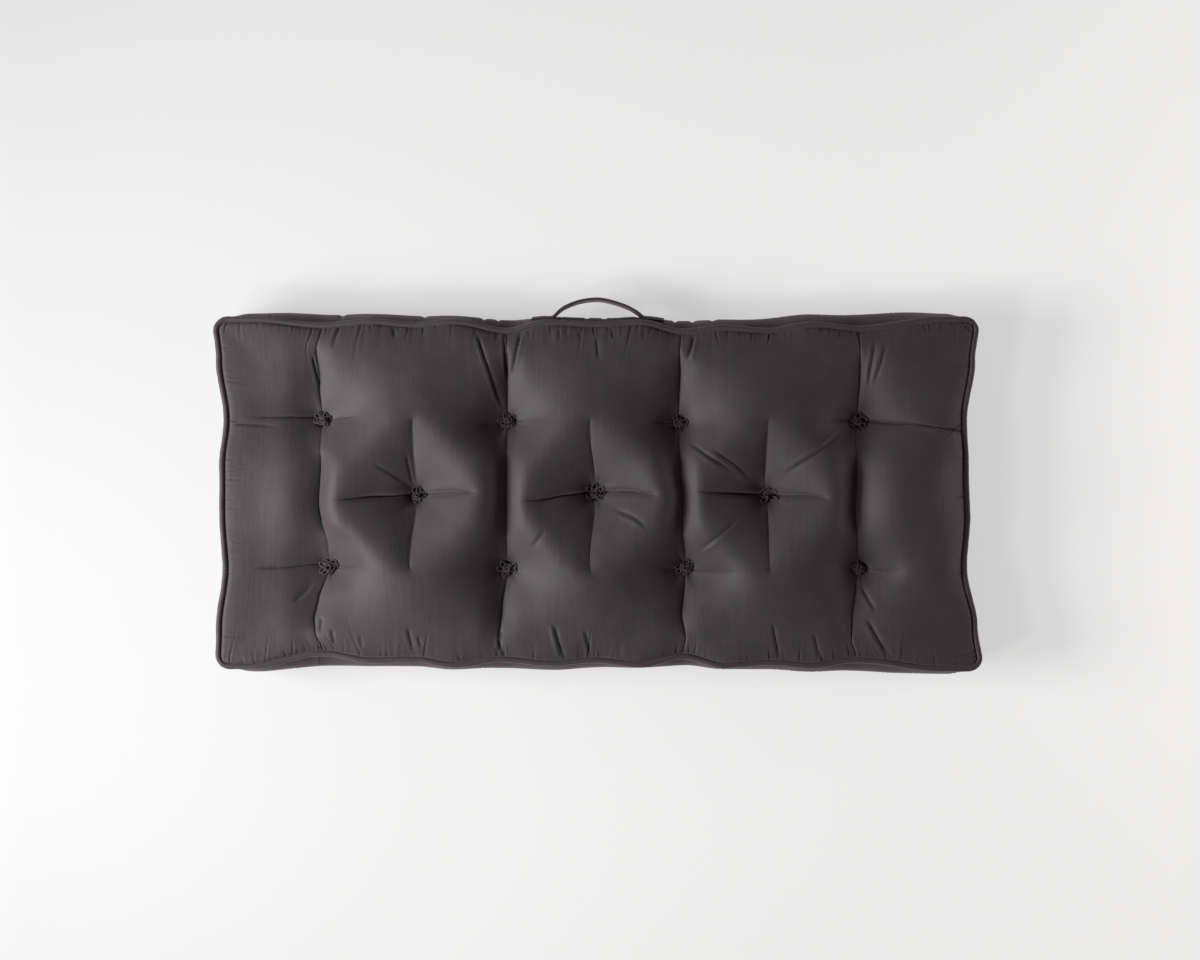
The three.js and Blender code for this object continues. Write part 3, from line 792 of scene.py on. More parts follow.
def band_bulge(x, y):
    """How far the band's middle stands out. Along the long sides it also evens out the seams."""
    long_side = np.where(y > 0, eased(BACK_BULGE, x), eased(FRONT_BULGE, x))
    long_side = long_side + BAND_EVENING * long_inset(x, y) * smooth((HALF_LENGTH - abs(x)) / 60)
    return np.where(np.isclose(abs(y), HALF_DEPTH), long_side, eased(END_BULGE, y))


def band_points(top_ring, under_ring, outward, x, y, shares):
    """Rows of points down the band, with its wrinkles."""
    bulge = band_bulge(x, y)
    along = ring_lengths(top_ring)
    rows = []
    for share in shares:
        base = top_ring + (under_ring - top_ring) * share
        relief = band_relief(x, y, along, share)
        rows.append(base + outward * (bulge * math.sin(math.pi * share) + relief)[:, None])
    return np.array(rows)


def ring_lengths(ring):
    """How far round a closed ring each of its points is, and the whole way round."""
    return running_total(np.linalg.norm(np.roll(ring, -1, axis=0) - ring, axis=1))


Fold = namedtuple("Fold", "x depth width")
# Folds that run down the band at the back, where they notch its outline.
BACK_FOLDS = [
    Fold(-344, 2.2, 3.5),
    Fold(-235, 2.0, 3.5),
    Fold(-159, 2.4, 3.0),
    Fold(-139, 2.0, 3.0),
    Fold(-15, 1.6, 3.0),
    Fold(8, 1.6, 3.0),
    Fold(55, 1.5, 3.0),
    Fold(103, 2.2, 3.0),
    Fold(132, 2.4, 3.5),
    Fold(158, 2.0, 3.0),
]


def band_relief(x, y, along, share):
    """Puckers at both of the band's seams, its folds, and the filling's lumps."""
    height = TOP_SEAM_Z - UNDER_SEAM_Z
    total = along[-1]
    place = along[:-1] - total / 2
    from_top = np.full(place.shape, share * height)
    relief = pucker_relief(place, from_top, seam_puckers(total, 80))
    relief += pucker_relief(place, height - from_top, seam_puckers(total, 81))
    for fold in BACK_FOLDS:
        slant = 3 * (share - 0.5)
        here = (y > HALF_DEPTH - 1) * hump((x - fold.x - slant) / fold.width)
        relief -= fold.depth * here * math.sin(math.pi * share)
    lumps = soft_noise(place / 38 + 99, np.full(place.shape, 3 * share + 7), 21)
    return (relief + lumps * math.sin(math.pi * share)) * away_from_handle(x, y, share)


def away_from_handle(x, y, share):
    """0 under the handle's sewn ends, where the band lies flat, and 1 well away from them."""
    beside = np.minimum(abs(x - HANDLE_PATCH), abs(x + HANDLE_PATCH)) - 16
    over = abs(share - 0.5) * (TOP_SEAM_Z - UNDER_SEAM_Z) - HANDLE_WIDTH / 2
    clear = smooth(np.maximum(beside / 8, over / 6))
    return np.where(y > HALF_DEPTH - 1, clear, 1)


HANDLE_SEWN_TO = 90.0
HANDLE_ARCH_HALF = 62.0
HANDLE_PATCH = (HANDLE_SEWN_TO + HANDLE_ARCH_HALF) / 2
HANDLE_WIDTH = 28.0


# ---------------------------------------------------------------- making meshes
def frame_shift():
    """From the cushion's own plan to the frame, read off the knot in the middle."""
    middle = next(tuft for tuft in TUFTS if tuft.name == "middle_2")
    knot = cad_middle("knot_middle_2") / MM
    x, y = tuft_place(middle)
    return np.array([knot.x - x, knot.y - y, 0.0])


def new_object(name, data):
    """An object in the scene that holds this mesh, light or camera."""
    thing = bpy.data.objects.new(name, data)
    bpy.context.scene.collection.objects.link(thing)
    return thing


def new_piece(name, points, faces, cloth, material):
    """A smooth mesh object. points are in mm; faces are arrays of point numbers, and cloth the
    matching arrays of each corner's place on the flat cloth, in mm."""
    corners = np.concatenate([part.ravel() for part in faces]).astype(np.int32)
    sizes = np.concatenate([np.full(len(part), part.shape[1]) for part in faces])
    mesh = bpy.data.meshes.new(name)
    mesh.vertices.add(len(points))
    mesh.vertices.foreach_set("co", ((points + SHIFT) * MM).astype(np.float32).ravel())
    mesh.loops.add(len(corners))
    mesh.loops.foreach_set("vertex_index", corners)
    mesh.polygons.add(len(sizes))
    mesh.polygons.foreach_set("loop_start", (np.cumsum(sizes) - sizes).astype(np.int32))
    mesh.update(calc_edges=True)
    mesh.polygons.foreach_set("use_smooth", np.ones(len(sizes), bool))
    flat = np.concatenate([part.reshape(-1, 2) for part in cloth]) * MM
    mesh.uv_layers.new(name="cloth").uv.foreach_set("vector", flat.astype(np.float32).ravel())
    mesh.materials.append(material)
    return new_object(name, mesh)


def grid_faces(numbers):
    """Quads over a grid of point numbers, or of places on the cloth."""
    corners = [numbers[:-1, :-1], numbers[1:, :-1], numbers[1:, 1:], numbers[:-1, 1:]]
    return np.stack(corners, axis=2)


def quads_of(numbers):
    return grid_faces(numbers).reshape(-1, 4)


def cloth_of(places):
    return grid_faces(places).reshape(-1, 4, 2)


def wrapped(ring):
    return np.concatenate([ring, ring[:1]])


class Loft:
    """Tubes joined into one mesh: each is a run of closed sections."""

    def __init__(self):
        self.points, self.faces, self.cloth, self.count = [], [], [], 0

    def add(self, sections, closed=False):
        """sections is an array of stations by sides by 3, in mm."""
        stations, sides = sections.shape[:2]
        numbers = self.count + np.arange(stations * sides).reshape(stations, sides)
        along = np.linalg.norm(np.diff(sections.mean(axis=1), axis=0), axis=1)
        along = running_total(along)
        ring = np.linalg.norm(sections[:, 0] - sections[:, 1], axis=1).mean()
        if closed:
            numbers = np.vstack([numbers, numbers[:1]])
            along = np.append(along, along[-1] + ring)
        numbers = np.hstack([numbers, numbers[:, :1]])
        places = np.stack(np.meshgrid(along, ring * np.arange(sides + 1), indexing="ij"), axis=2)
        self.points.append(sections.reshape(-1, 3))
        self.faces.append(quads_of(numbers))
        self.cloth.append(cloth_of(places))
        self.count += stations * sides
        if not closed:
            self.cap(sections[0], numbers[0, :-1], True)
            self.cap(sections[-1], numbers[-1, :-1], False)

    def cap(self, section, numbers, first):
        middle = self.count
        self.points.append(section.mean(axis=0)[None])
        self.count += 1
        after = np.roll(numbers, -1)
        fan = np.stack([after, numbers, np.full(len(numbers), middle)], axis=1)
        if not first:
            fan = fan[:, ::-1]
        self.faces.append(fan)
        self.cloth.append(np.zeros((len(fan), 3, 2)))

    def piece(self, name, material):
        return new_piece(name, np.concatenate(self.points), self.faces, self.cloth, material)


def tube(path, radii, turn=None, closed=False):
    """Sections round a path. radii is one section's radius at each side, turn its twist at each
    station. The sections keep level along the path, so a path never runs straight up."""
    if closed:
        ahead = np.roll(path, -1, axis=0) - np.roll(path, 1, axis=0)
    else:
        ahead = np.gradient(path, axis=0)
    ahead /= np.linalg.norm(ahead, axis=1, keepdims=True)
    level = np.cross(ahead, [0, 0, 1.0])
    level /= np.maximum(np.linalg.norm(level, axis=1, keepdims=True), 1e-6)
    up = np.cross(level, ahead)
    angle = np.linspace(0, 2 * math.pi, len(radii), endpoint=False)[None, :]
    if turn is not None:
        angle = angle + turn[:, None]
    across = np.cos(angle)[..., None] * level[:, None] + np.sin(angle)[..., None] * up[:, None]
    return path[:, None] + across * np.asarray(radii)[None, :, None]


# ---------------------------------------------------------------- the filled cushion
CELLS_X, CELLS_Y = 680, 300
CUSHION_TRIANGLES = 190000
# Both seams' points, the direction outward at each, and where each lies on the grid.
Edge = namedtuple("Edge", "top under outward x y")


def make_cushion(material):
    """The case as one closed mesh: top, band and underside. The underside has half the lines."""
    xs, ys = grid_lines(CELLS_X, CELLS_Y)
    top = cover_points(xs, ys, TOP, top_relief)
    half_xs, half_ys = xs[::2], ys[::2]
    under = cover_points(half_xs, half_ys, UNDER, under_relief)
    under[..., 2] = np.maximum(under[..., 2], 0)

    i, j = ring_indices(top.shape)
    half_i, half_j = ring_indices(under.shape)
    top_ring, under_ring = top[i, j], under[half_i, half_j]
    under_full = between_lines(under_ring)
    outward = ring_outward(top_ring)
    shares = np.arange(1, BAND_ROWS) / BAND_ROWS
    band = band_points(top_ring, under_full, outward, xs[i], ys[j], shares)

    top_numbers = numbered(top, 0)
    band_numbers = numbered(band, top_numbers.size)
    under_numbers = numbered(under, top_numbers.size + band_numbers.size)
    band_numbers = np.vstack([top_numbers[i, j], band_numbers])
    under_edge = under_numbers[half_i, half_j]

    along = ring_lengths(top_ring)
    height = TOP_SEAM_Z - UNDER_SEAM_Z
    downs = [np.full(len(along), -share * height) for share in (0, *shares, 1)]
    places = np.array([np.stack([along, down], axis=1) for down in downs])
    band_places, edge_places = places[:-1], places[-1, ::2]
    wrap = np.hstack([band_numbers, band_numbers[:, :1]])
    zip_faces, zip_cloth = zip_strip(wrap[-1], wrapped(under_edge), band_places[-1], edge_places)
    top_cloth = np.stack(np.meshgrid(xs, ys, indexing="ij"), axis=2)
    under_cloth = np.stack(np.meshgrid(half_xs, half_ys, indexing="ij"), axis=2)
    faces = [quads_of(top_numbers), quads_of(wrap), zip_faces, quads_of(under_numbers)[:, ::-1]]
    cloth = [cloth_of(top_cloth), cloth_of(band_places), zip_cloth, cloth_of(under_cloth)[:, ::-1]]
    points = np.concatenate([part.reshape(-1, 3) for part in (top, band, under)])
    piece = new_piece("cushion", points, faces, cloth, material)
    thin_out(piece, CUSHION_TRIANGLES)
    return piece, Surface(top), Edge(top_ring, under_full, outward, xs[i], ys[j])


def numbered(points, first):
    """Numbers for a grid of points, counted from the first one."""
    return first + np.arange(points[..., 0].size).reshape(points.shape[:2])


def between_lines(ring):
    """A ring with a point added halfway along each of its steps."""
    doubled = np.empty((2 * len(ring), 3))
    doubled[::2] = ring
    doubled[1::2] = (ring + np.roll(ring, -1, axis=0)) / 2
    return doubled


def zip_strip(upper, lower, upper_places, lower_places):
    """Triangles that join a row of points to one with half as many."""
    a, b, c = upper[:-2:2], upper[1:-1:2], upper[2::2]
    d, e = lower[:-1], lower[1:]
    pa, pb, pc = upper_places[:-2:2], upper_places[1:-1:2], upper_places[2::2]
    pd, pe = lower_places[:-1], lower_places[1:]
    faces = np.concatenate([np.stack(t, axis=1) for t in ((a, d, b), (b, d, e), (b, e, c))])
    flat = ((pa, pd, pb), (pb, pd, pe), (pb, pe, pc))
    places = np.concatenate([np.stack(t, axis=1) for t in flat])
    return faces, places


def thin_out(piece, most):
    """Joins triangles where a piece is smooth, until it has about this many."""
    now = sum(len(face.vertices) - 2 for face in piece.data.polygons)
    fewer = piece.modifiers.new("fewer", "DECIMATE")
    fewer.ratio = most / now
    graph = bpy.context.evaluated_depsgraph_get()
    thinned = bpy.data.meshes.new_from_object(piece.evaluated_get(graph))
    piece.modifiers.clear()
    piece.data = thinned


class Surface:
    """The top cover's height above a place in plan, near a tuft."""

    def __init__(self, points):
        self.plan, self.z = points[..., :2], points[..., 2]

    def height(self, x, y):
        near = np.abs(self.plan[..., 0] - x.mean()) + np.abs(self.plan[..., 1] - y.mean()) < 60
        plan, z = self.plan[near], self.z[near]
        away = np.hypot(plan[None, :, 0] - x[:, None], plan[None, :, 1] - y[:, None])
        weight = 1 / (away**4 + 0.1)
        return (weight * z).sum(axis=1) / weight.sum(axis=1)


# ---------------------------------------------------------------- welt cords
WELT_SIDES = 12
WELT_TAIL = 5.0
WELT_SWAY = 0.3
WELT_GRAIN = 0.035
# Where the cord's ends meet at the back, and how far and how deep it dips there.
WELT_JOIN_X = 134.0
WELT_JOIN_REACH = 2.5
WELT_JOIN_DIP = 0.12


def make_welt(name, ring, outward, out, seed, material):
    """A cord in its cloth along a seam, with the tail by which it is sewn in."""
    along = ring_lengths(ring)[:-1]
    centre = ring + outward * WELT_OFF_SEAM * math.cos(WELT_TILT)
    centre = centre + np.array([0, 0, out * WELT_OFF_SEAM * math.sin(WELT_TILT)])
    sway = soft_noise(along / 17 + 40, np.zeros(len(ring)) + 3, seed)
    centre = centre + outward * (WELT_SWAY * sway)[:, None]
    angles = np.linspace(0, 2 * math.pi, WELT_SIDES, endpoint=False)
    radii = np.where(np.isclose(angles, math.pi), WELT_TAIL, WELT_RADIUS)
    grain_along, grain_round = np.meshgrid(along / 5, angles * 0.8 + 50, indexing="ij")
    grain = soft_noise(grain_along + grain_round, grain_round, seed + 1)
    radii = radii[None, :] * (1 + WELT_GRAIN * grain)
    join = hump((ring[:, 0] - WELT_JOIN_X) / WELT_JOIN_REACH) * (ring[:, 1] > 0)
    radii = radii * (1 - WELT_JOIN_DIP * join[:, None] * (abs(angles - math.pi) > 0.1))
    away = outward * math.cos(WELT_TILT) + np.array([0, 0, out * math.sin(WELT_TILT)])
    over = np.array([0, 0, out * math.cos(WELT_TILT)]) - outward * math.sin(WELT_TILT)
    cos, sin = np.cos(angles)[None, :, None], np.sin(angles)[None, :, None]
    round_it = cos * away[:, None] + sin * over[:, None]
    sections = centre[:, None] + round_it * radii[..., None]
    loft = Loft()
    loft.add(sections if out > 0 else sections[:, ::-1], closed=True)
    return loft.piece(name, material)


# ---------------------------------------------------------------- carrying handle
HANDLE_REACH = 22.0
HANDLE_THICKNESS = 4.4
HANDLE_SEWN_THICKNESS = 1.6
HANDLE_LEFT_POWER = 2.2
HANDLE_RIGHT_POWER = 1.5
PIECE_GAP = 0.4


class BackBand:
    """The band's smooth surface along the back, where the handle is sewn on."""

    def __init__(self, edge):
        back = edge.y > HALF_DEPTH - 1
        order = np.argsort(edge.top[back, 0])
        self.top, self.under = edge.top[back][order], edge.under[back][order]
        self.outward = edge.outward[back][order]
        self.bulge = band_bulge(edge.x, edge.y)[back][order]

    def at(self, x, share):
        points = self.top + (self.under - self.top) * share
        points = points + self.outward * (self.bulge * math.sin(math.pi * share))[:, None]
        return np.interp(x, points[:, 0], points[:, 1]), np.interp(x, points[:, 0], points[:, 2])


def handle_face(band, x, level):
    """A point on the strap's inner face. level runs from -1 at its lower edge to 1."""
    middle_y, middle_z = band.at(x, 0.5)
    power = HANDLE_LEFT_POWER if x < 0 else HANDLE_RIGHT_POWER
    arch = HANDLE_REACH * max(0.0, 1 - (abs(x) / HANDLE_ARCH_HALF) ** power)
    flatness = smooth(arch / (HANDLE_REACH / 2))
    share = 0.5 - level * HANDLE_WIDTH / 2 / (TOP_SEAM_Z - UNDER_SEAM_Z)
    on_band = band.at(x, share)[0]
    y = on_band + (middle_y - on_band) * flatness
    return np.array([x, y + PIECE_GAP + arch, middle_z + level * HANDLE_WIDTH / 2])


def strap_thickness(x):
    """The folded strap is thick where it is free and pressed flat where it is sewn on."""
    free = smooth((HANDLE_ARCH_HALF + 4 - abs(x)) / 14)
    return HANDLE_SEWN_THICKNESS + (HANDLE_THICKNESS - HANDLE_SEWN_THICKNESS) * free


# Across the strap: places from its lower edge, and half its thickness there as a share of the
# whole. It is thin at its edges and pressed in along both rows of stitches.
STRAP_LEVELS = [-1, -0.93, -0.8, -0.72, -0.4, 0, 0.4, 0.72, 0.8, 0.93]
STRAP_HALVES = [0.25, 0.42, 0.5, 0.44, 0.5, 0.5, 0.5, 0.44, 0.5, 0.42]


def strap_section(band, x):
    """Points round the strap at x: out along its outer face and back along the inner one."""
    depth = strap_thickness(x)
    across = list(zip(STRAP_LEVELS, STRAP_HALVES))
    outer = [handle_face(band, x, a) + [0, depth * (0.5 + t), 0] for a, t in across]
    inner = [handle_face(band, x, -a) + [0, depth * (0.5 - t), 0] for a, t in across]
    return outer + inner


def make_handle(band, material):
    loft = Loft()
    xs = np.linspace(-HANDLE_SEWN_TO, HANDLE_SEWN_TO, 141)
    sections = np.array([strap_section(band, x) for x in xs])
    loft.add(sections[:, ::-1])
    return loft.piece("handle_strap", material)


STITCH = 2.5
STITCH_PITCH = 3.3
THREAD_RADIUS = 0.36
# How far a stitch stands out of the cloth along its length.
STITCH_RISE = np.array([-0.35, 0.12, 0.25, 0.12, -0.35])
STITCH_SHARES = np.array([0, 0.2, 0.5, 0.8, 1])


def stitch_row(loft, points):
    """Single stitches along a row of points, each a short thread with sunk ends."""
    along = running_total(np.linalg.norm(np.diff(points, axis=0), axis=1))
    for start in np.arange(0.4, along[-1] - STITCH, STITCH_PITCH):
        at = start + STITCH * STITCH_SHARES
        path = np.stack([np.interp(at, along, points[:, k]) for k in range(3)], axis=1)
        path[:, 1] += STITCH_RISE
        loft.add(tube(path, np.full(5, THREAD_RADIUS)))


STITCH_LEVEL = 0.72
CROSS_LEVEL = 0.66
# At what share of the strap's thickness the stitches lie.
STITCH_DEPTH = 0.94


def make_stitches(band, material):
    """The strap's two rows of stitching, and the crossed box at each sewn end."""
    loft = Loft()

    def row(start, end):
        places = np.linspace(start, end, 40)
        face = [
            handle_face(band, x, level) + [0, STITCH_DEPTH * strap_thickness(x), 0]
            for x, level in places
        ]
        stitch_row(loft, np.array(face))

    edge, level, cross = HANDLE_SEWN_TO - 3, STITCH_LEVEL, CROSS_LEVEL
    row((-edge, -level), (edge, -level))
    row((-edge, level), (edge, level))
    for side in (-1, 1):
        out_x, in_x = side * edge, side * (HANDLE_ARCH_HALF + 4)
        row((out_x, -level), (out_x, level))
        row((in_x, -level), (in_x, level))
        row((out_x, -cross), (in_x, cross))
        row((out_x, cross), (in_x, -cross))
    return loft.piece("handle_stitching", material)


# ---------------------------------------------------------------- yarn tufts
STRAND_RADIUS = 1.45
PLY_PITCH = 6.5
PLY_SECTION = STRAND_RADIUS * np.array([1, 0.95, 0.8, 0.95, 1, 0.95, 0.8, 0.95])


def yarn_strand(loft, path):
    """A closed loop of two-ply yarn along a path."""
    steps = np.linalg.norm(np.diff(path, axis=0), axis=1)
    along = running_total(steps)
    whole = along[-1] + steps[-1]
    turns = max(1, round(whole / PLY_PITCH))
    turn = math.pi * turns * along / whole
    loft.add(tube(path, PLY_SECTION, turn, closed=True), closed=True)


def yarn_loop(heading, length, width, rise, lean, stations=34):
    """A teardrop loop that leaves the middle of a tuft, arches over and droops at its tip."""
    t = np.linspace(0, 2 * math.pi, stations, endpoint=False)
    out = length * (1 - np.cos(t)) / 2
    side = width * np.sin(t) * np.sin(t / 2) + lean * (out / length) ** 2
    up = rise * np.sin(math.pi * np.clip(out / length, 0, 1) ** 0.7) * (1 + 0.25 * np.sin(t))
    up = up + 1.5 * (1 - out / length)
    x = out * math.cos(heading) - side * math.sin(heading)
    y = out * math.sin(heading) + side * math.cos(heading)
    return np.stack([x, y, up], axis=1)


Rosette = namedtuple("Rosette", "name loops fan_from fan_over longest stretch")
# Each tuft's loops fan out from one heading over an arc, in degrees.
ROSETTES = [
    Rosette("front_1", 7, 0, 360, 14, 1.1),
    Rosette("front_2", 6, 150, 260, 14, 1.15),
    Rosette("front_3", 6, 20, 360, 13, 1.2),
    Rosette("front_4", 6, 60, 360, 13, 1.0),
    Rosette("middle_1", 7, 10, 360, 13.5, 1.1),
    Rosette("middle_2", 7, 40, 360, 14, 1.15),
    Rosette("middle_3", 7, 0, 360, 14, 1.15),
    Rosette("back_1", 6, -60, 300, 14, 1.0),
    Rosette("back_2", 6, 30, 360, 13.5, 1.1),
    Rosette("back_3", 6, 0, 360, 13, 1.1),
    Rosette("back_4", 6, 90, 360, 14, 1.15),
]


def make_rosette(row, tuft, surface, seed, material):
    """A bunch of yarn loops on the top, held down by a few turns round their middle."""
    dice = np.random.default_rng(seed)
    loft = Loft()
    x, y = tuft_place(tuft)
    for n in range(row.loops):
        heading = math.radians(row.fan_from + row.fan_over * n / row.loops) + dice.normal(0, 0.14)
        length = row.longest * dice.uniform(0.78, 1.0) - STRAND_RADIUS
        path = yarn_loop(
            heading, length, dice.uniform(3.0, 4.8), dice.uniform(1.6, 3.8), dice.uniform(-5, 5)
        )
        path[:, 0] *= row.stretch
        lay_on(path, surface, x, y, 0.85 * STRAND_RADIUS)
        yarn_strand(loft, path)
    for n in range(3):
        t = np.linspace(0, 2 * math.pi, 26, endpoint=False)
        radius, tilt = dice.uniform(0.8, 1.2) * (7.5 - 2.2 * n), dice.uniform(0, 2 * math.pi)
        wave = np.sin(t + tilt)
        aside = dice.uniform(-1.6, 1.6, 2)
        up = 3.2 + 1.2 * n + wave
        path = np.stack([radius * np.cos(t), 0.75 * radius * np.sin(t), up], axis=1)
        path[:, :2] += aside
        lay_on(path, surface, x, y, STRAND_RADIUS)
        yarn_strand(loft, path)
    return loft.piece(f"rosette_{row.name}", material)


def lay_on(path, surface, x, y, clear):
    """Moves a path from round 0 to a place on the top cover, and lifts it clear of the cloth."""
    path[:, 0] += x
    path[:, 1] += y
    path[:, 2] += surface.height(path[:, 0], path[:, 1]) + clear


def make_under_knot(tuft, seed, material):
    """The plain yarn knot that holds a tuft from below."""
    dice = np.random.default_rng(seed)
    loft = Loft()
    x, y = tuft_place(tuft)
    top = UNDER_SEAM_Z - UNDER.tuft - PIECE_GAP - STRAND_RADIUS
    for n in range(4):
        heading = math.radians(90 * n + 45) + dice.normal(0, 0.15)
        path = yarn_loop(heading, dice.uniform(6.2, 7.2), 2.0, 0.9, dice.uniform(-1.5, 1.5), 22)
        path = path * [1, 1, -1] + [x, y, top]
        yarn_strand(loft, path[::-1])
    return loft.piece(f"knot_{tuft.name}_yarn", material)


# ---------------------------------------------------------------- materials
class Nodes:
    """A material's nodes, added and joined with short calls."""

    def __init__(self, name):
        self.material = bpy.data.materials.new(name)
        self.material.use_nodes = True
        self.tree = self.material.node_tree
        self.shader = self.tree.nodes["Principled BSDF"]

    def add(self, kind, settings=(), **inputs):
        node = self.tree.nodes.new("ShaderNode" + kind)
        for key, value in dict(settings).items():
            setattr(node, key, value)
        for key, value in inputs.items():
            self.feed(node.inputs[key.replace("_", " ")], value)
        return node

    def feed(self, socket, value):
        if isinstance(value, bpy.types.NodeSocket):
            self.tree.links.new(value, socket)
        else:
            socket.default_value = value

    def maths(self, operation, a, b=0.0):
        node = self.tree.nodes.new("ShaderNodeMath")
        node.operation = operation
        self.feed(node.inputs[0], a)
        self.feed(node.inputs[1], b)
        return node.outputs[0]

    def mix_of(self, first, *others):
        """The sum of several values, each with the share it takes."""
        total = self.maths("MULTIPLY", *first)
        for part in others:
            total = self.maths("ADD", total, self.maths("MULTIPLY", *part))
        return total

    def noise(self, vector, scale, detail=2.0, roughness=0.5):
        node = self.add("TexNoise", Vector=vector, Scale=scale, Detail=detail, Roughness=roughness)
        return node.outputs["Fac"]

    def blend(self, share, low, high):
        node = self.add("MixRGB", Fac=share, Color1=low, Color2=high)
        return node.outputs[0]

    def spread(self, value, low, high):
        """A value from 0 to 1 stretched between low and high."""
        node = self.add("MapRange", Value=value, To_Min=low, To_Max=high)
        return node.outputs[0]

    def bump(self, height, distance, strength, normal=None):
        node = self.add("Bump", Height=height, Distance=distance, Strength=strength)
        if normal is not None:
            self.feed(node.inputs["Normal"], normal)
        return node.outputs["Normal"]


def charcoal(level):
    """A dark grey with a breath of plum."""
    return (level * 1.12, level * 0.84, level * 0.96, 1)


def twill(nodes, pitch):
    """Height of a twill weave, in threads pitch metres apart: its diagonal ribs and its yarns."""
    place = nodes.add("UVMap", {"uv_map": "cloth"}).outputs[0]
    parts = nodes.add("SeparateXYZ", Vector=place)
    u = nodes.maths("DIVIDE", parts.outputs["X"], pitch)
    v = nodes.maths("DIVIDE", parts.outputs["Y"], pitch)
    diagonal = nodes.maths("ADD", u, v)
    rib = nodes.maths("PINGPONG", nodes.maths("MULTIPLY", diagonal, 0.5), 1.0)
    yarn = nodes.maths("PINGPONG", v, 0.5)
    return place, nodes.maths("ADD", rib, nodes.maths("MULTIPLY", yarn, 0.8))


# Pointiness of the mesh in the bottom of a sharp fold and where the cloth is open to the light, and
# the share of the dye's brightness that the painted shade in a fold's bottom keeps.
FOLD_BOTTOM = 0.45
FOLD_OPEN = 0.494
FOLD_SHADE = 0.05
SHEEN_TINT = (0.62, 0.555, 0.6, 1)


def cloth_material(name, level, pitch, fuzz):
    """Dyed cotton twill: fine ribs, uneven yarns, faint mottling and a soft sheen. The bottoms of
    its sharp folds get painted shade in their colour, in place of the shade of cloth that closes over
    a fold."""
    nodes = Nodes(name)
    place, weave = twill(nodes, pitch)
    slubs = nodes.noise(nodes.add("Mapping", Vector=place, Scale=(260, 1500, 1)).outputs[0], 1.0)
    lint = nodes.noise(place, 1900.0, 3.0, 0.6)
    mottle = nodes.noise(place, 34.0, 4.0, 0.55)
    tone = nodes.mix_of((slubs, 0.3), (lint, 0.2), (mottle, 0.5))
    dark, light = charcoal(level * 0.5), charcoal(level * 1.5)
    # Painted shade: where Pointiness is low, in the bottoms of sharp folds, the dye darkens towards
    # FOLD_SHADE.
    hollow = nodes.add("NewGeometry").outputs["Pointiness"]
    opened = nodes.add("MapRange", Value=hollow, From_Min=FOLD_BOTTOM, From_Max=FOLD_OPEN).outputs[0]
    dye_and_painted_shade = nodes.blend(opened, charcoal(level * FOLD_SHADE), nodes.blend(tone, dark, light))
    nodes.feed(nodes.shader.inputs["Base Color"], dye_and_painted_shade)
    nodes.feed(nodes.shader.inputs["Roughness"], nodes.spread(tone, 0.54, 0.7))
    nodes.shader.inputs["Sheen Weight"].default_value = fuzz
    nodes.shader.inputs["Sheen Roughness"].default_value = 0.55
    nodes.shader.inputs["Sheen Tint"].default_value = SHEEN_TINT
    nodes.shader.inputs["Specular IOR Level"].default_value = 0.3
    streaks = nodes.noise(nodes.add("Mapping", Vector=place, Scale=(170, 15, 1)).outputs[0], 1.0)
    soft = nodes.bump(streaks, 0.0006, 0.5, nodes.bump(mottle, 0.0012, 0.35))
    nodes.feed(nodes.shader.inputs["Normal"], nodes.bump(weave, 0.0001, 0.4, soft))
    return nodes.material


def yarn_material():
    """Matt cotton yarn with its fine fibres."""
    nodes = Nodes("yarn")
    place = nodes.add("TexCoord").outputs["Object"]
    fibres = nodes.noise(place, 2600.0, 3.0, 0.65)
    clumps = nodes.noise(place, 420.0, 2.0)
    tone = nodes.mix_of((fibres, 0.6), (clumps, 0.4))
    nodes.feed(nodes.shader.inputs["Base Color"], nodes.blend(tone, charcoal(0.014), charcoal(0.05)))
    nodes.feed(nodes.shader.inputs["Roughness"], nodes.spread(tone, 0.8, 1.0))
    nodes.shader.inputs["Sheen Weight"].default_value = 0.16
    nodes.shader.inputs["Specular IOR Level"].default_value = 0.2
    nodes.feed(nodes.shader.inputs["Normal"], nodes.bump(fibres, 0.0004, 0.6))
    return nodes.material


def floor_material():
    """A pale studio floor of paper that gives off light of its own, as a light table does. It
    reflects more to the right, where less of the key light reaches it."""
    nodes = Nodes("floor_paper")
    place = nodes.add("TexCoord").outputs["Object"]
    right = nodes.add("SeparateXYZ", Vector=place).outputs["X"]
    along = nodes.add("MapRange", Value=right, From_Min=-0.8, From_Max=0.8).outputs[0]
    paper = nodes.blend(along, (0.17, 0.17, 0.17, 1), (0.48, 0.475, 0.47, 1))
    nodes.feed(nodes.shader.inputs["Base Color"], paper)
    nodes.shader.inputs["Roughness"].default_value = 0.9
    nodes.shader.inputs["Emission Color"].default_value = (1.0, 0.99, 0.985, 1)
    nodes.shader.inputs["Emission Strength"].default_value = 0.52
    return nodes.material


# ---------------------------------------------------------------- stage, light and camera
def make_floor():
    half = 8.0
    mesh = bpy.data.meshes.new("floor")
    corners = [(-half, -half, 0), (half, -half, 0), (half, half, 0), (-half, half, 0)]
    mesh.from_pydata(corners, [], [(0, 1, 2, 3)])
    mesh.materials.append(floor_material())
    floor = new_object("floor", mesh)


# The lights' places, aims and sizes in metres, and their power in watts.
Light = namedtuple("Light", "name place aim size power")
LIGHTS = [
    Light("key", (-1.7, -0.22, 0.95), (0.0, 0.0, 0.05), (1.0, 0.7), 58),
    Light("right", (1.9, 0.1, 0.42), (0.45, 0.0, 0.07), (1.6, 0.5), 12),
    Light("back", (-0.2, 2.1, 1.0), (0.0, 0.1, 0.05), (2.2, 0.6), 3),
    Light("front_left", (-1.35, -1.0, 1.85), (0.0, 0.0, 0.0), (0.45, 0.45), 16),
]
WORLD_STRENGTH = 0.09


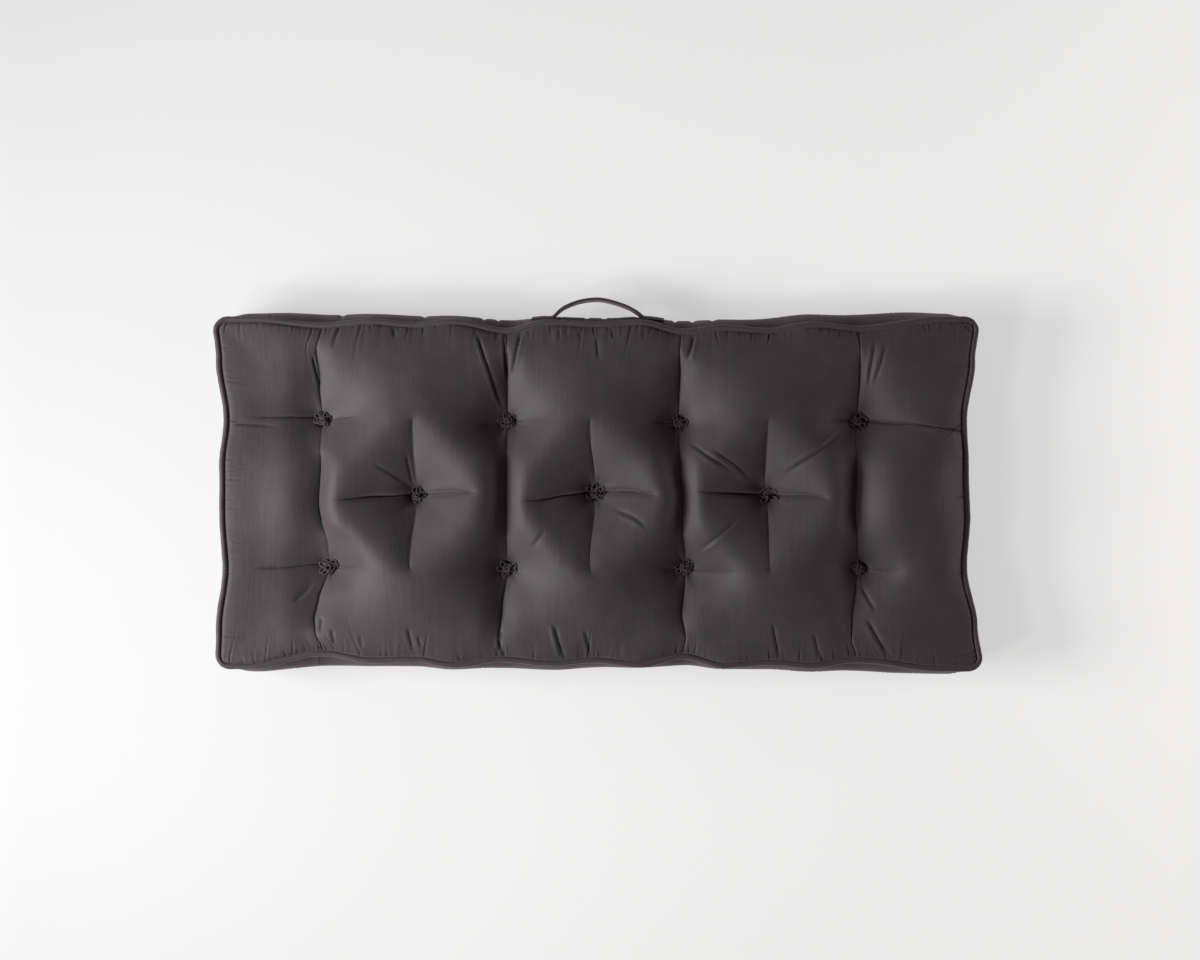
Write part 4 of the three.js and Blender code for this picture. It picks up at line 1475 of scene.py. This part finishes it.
def add_light(row):
    data = bpy.data.lights.new(row.name, "AREA")
    data.shape = "RECTANGLE"
    data.size, data.size_y = row.size
    data.energy = row.power
    light = new_object(row.name, data)
    light.location = row.place
    facing = Vector(row.aim) - Vector(row.place)
    light.rotation_euler = facing.to_track_quat("-Z", "Y").to_euler()


def light_studio():
    for row in LIGHTS:
        add_light(row)
    world = bpy.data.worlds.new("studio")
    world.use_nodes = True
    background = world.node_tree.nodes["Background"].inputs
    background["Color"].default_value = (1, 1, 1, 1)
    background["Strength"].default_value = WORLD_STRENGTH
    bpy.context.scene.world = world
    bpy.context.scene.view_settings.view_transform = "Standard"


# The place that the camera is over, its height over the top seam, and the width it sees at the
# seam's height, in mm.
CAMERA_OVER = (2.7, 18.9)
CAMERA_ABOVE_SEAM = 2500.0
VIEW_WIDTH_AT_SEAM = 1620.0


def make_camera():
    data = bpy.data.cameras.new("camera")
    data.sensor_width = 36.0
    data.lens = data.sensor_width * CAMERA_ABOVE_SEAM / VIEW_WIDTH_AT_SEAM
    camera = new_object("camera", data)
    place = np.array([*CAMERA_OVER, CAMERA_ABOVE_SEAM + TOP_SEAM_Z]) + SHIFT
    camera.location = place * MM
    bpy.context.scene.camera = camera


# ---------------------------------------------------------------- the whole cushion
def finish_piece(piece, slot, *nodes):
    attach(piece, "root")
    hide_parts(*nodes)


def make_all():
    cover = cloth_material("cover_cloth", 0.031, 0.0005, 0.24)
    welt = cloth_material("welt_cloth", 0.032, 0.0005, 0.24)
    strap = cloth_material("strap_cloth", 0.028, 0.0005, 0.2)
    yarn = yarn_material()
    cushion, surface, edge = make_cushion(cover)
    finish_piece(cushion, "cover_cloth", "case")
    top_welt = make_welt("welt_top_cord", edge.top, edge.outward, 1, 31, welt)
    finish_piece(top_welt, "welt_cloth", "welt_top")
    low_welt = make_welt("welt_under_cord", edge.under, edge.outward, -1, 33, welt)
    finish_piece(low_welt, "welt_cloth", "welt_under")
    band = BackBand(edge)
    finish_piece(make_handle(band, strap), "strap_cloth", "handle")
    finish_piece(make_stitches(band, yarn), "yarn")
    for n, (row, tuft) in enumerate(zip(ROSETTES, TUFTS)):
        rosette = make_rosette(row, tuft, surface, 100 + n, yarn)
        finish_piece(rosette, "yarn", f"tuft_{tuft.name}")
        knot = make_under_knot(tuft, 200 + n, yarn)
        finish_piece(knot, "yarn", f"knot_{tuft.name}")


SHIFT = frame_shift()
make_camera()
make_floor()
light_studio()
make_all()
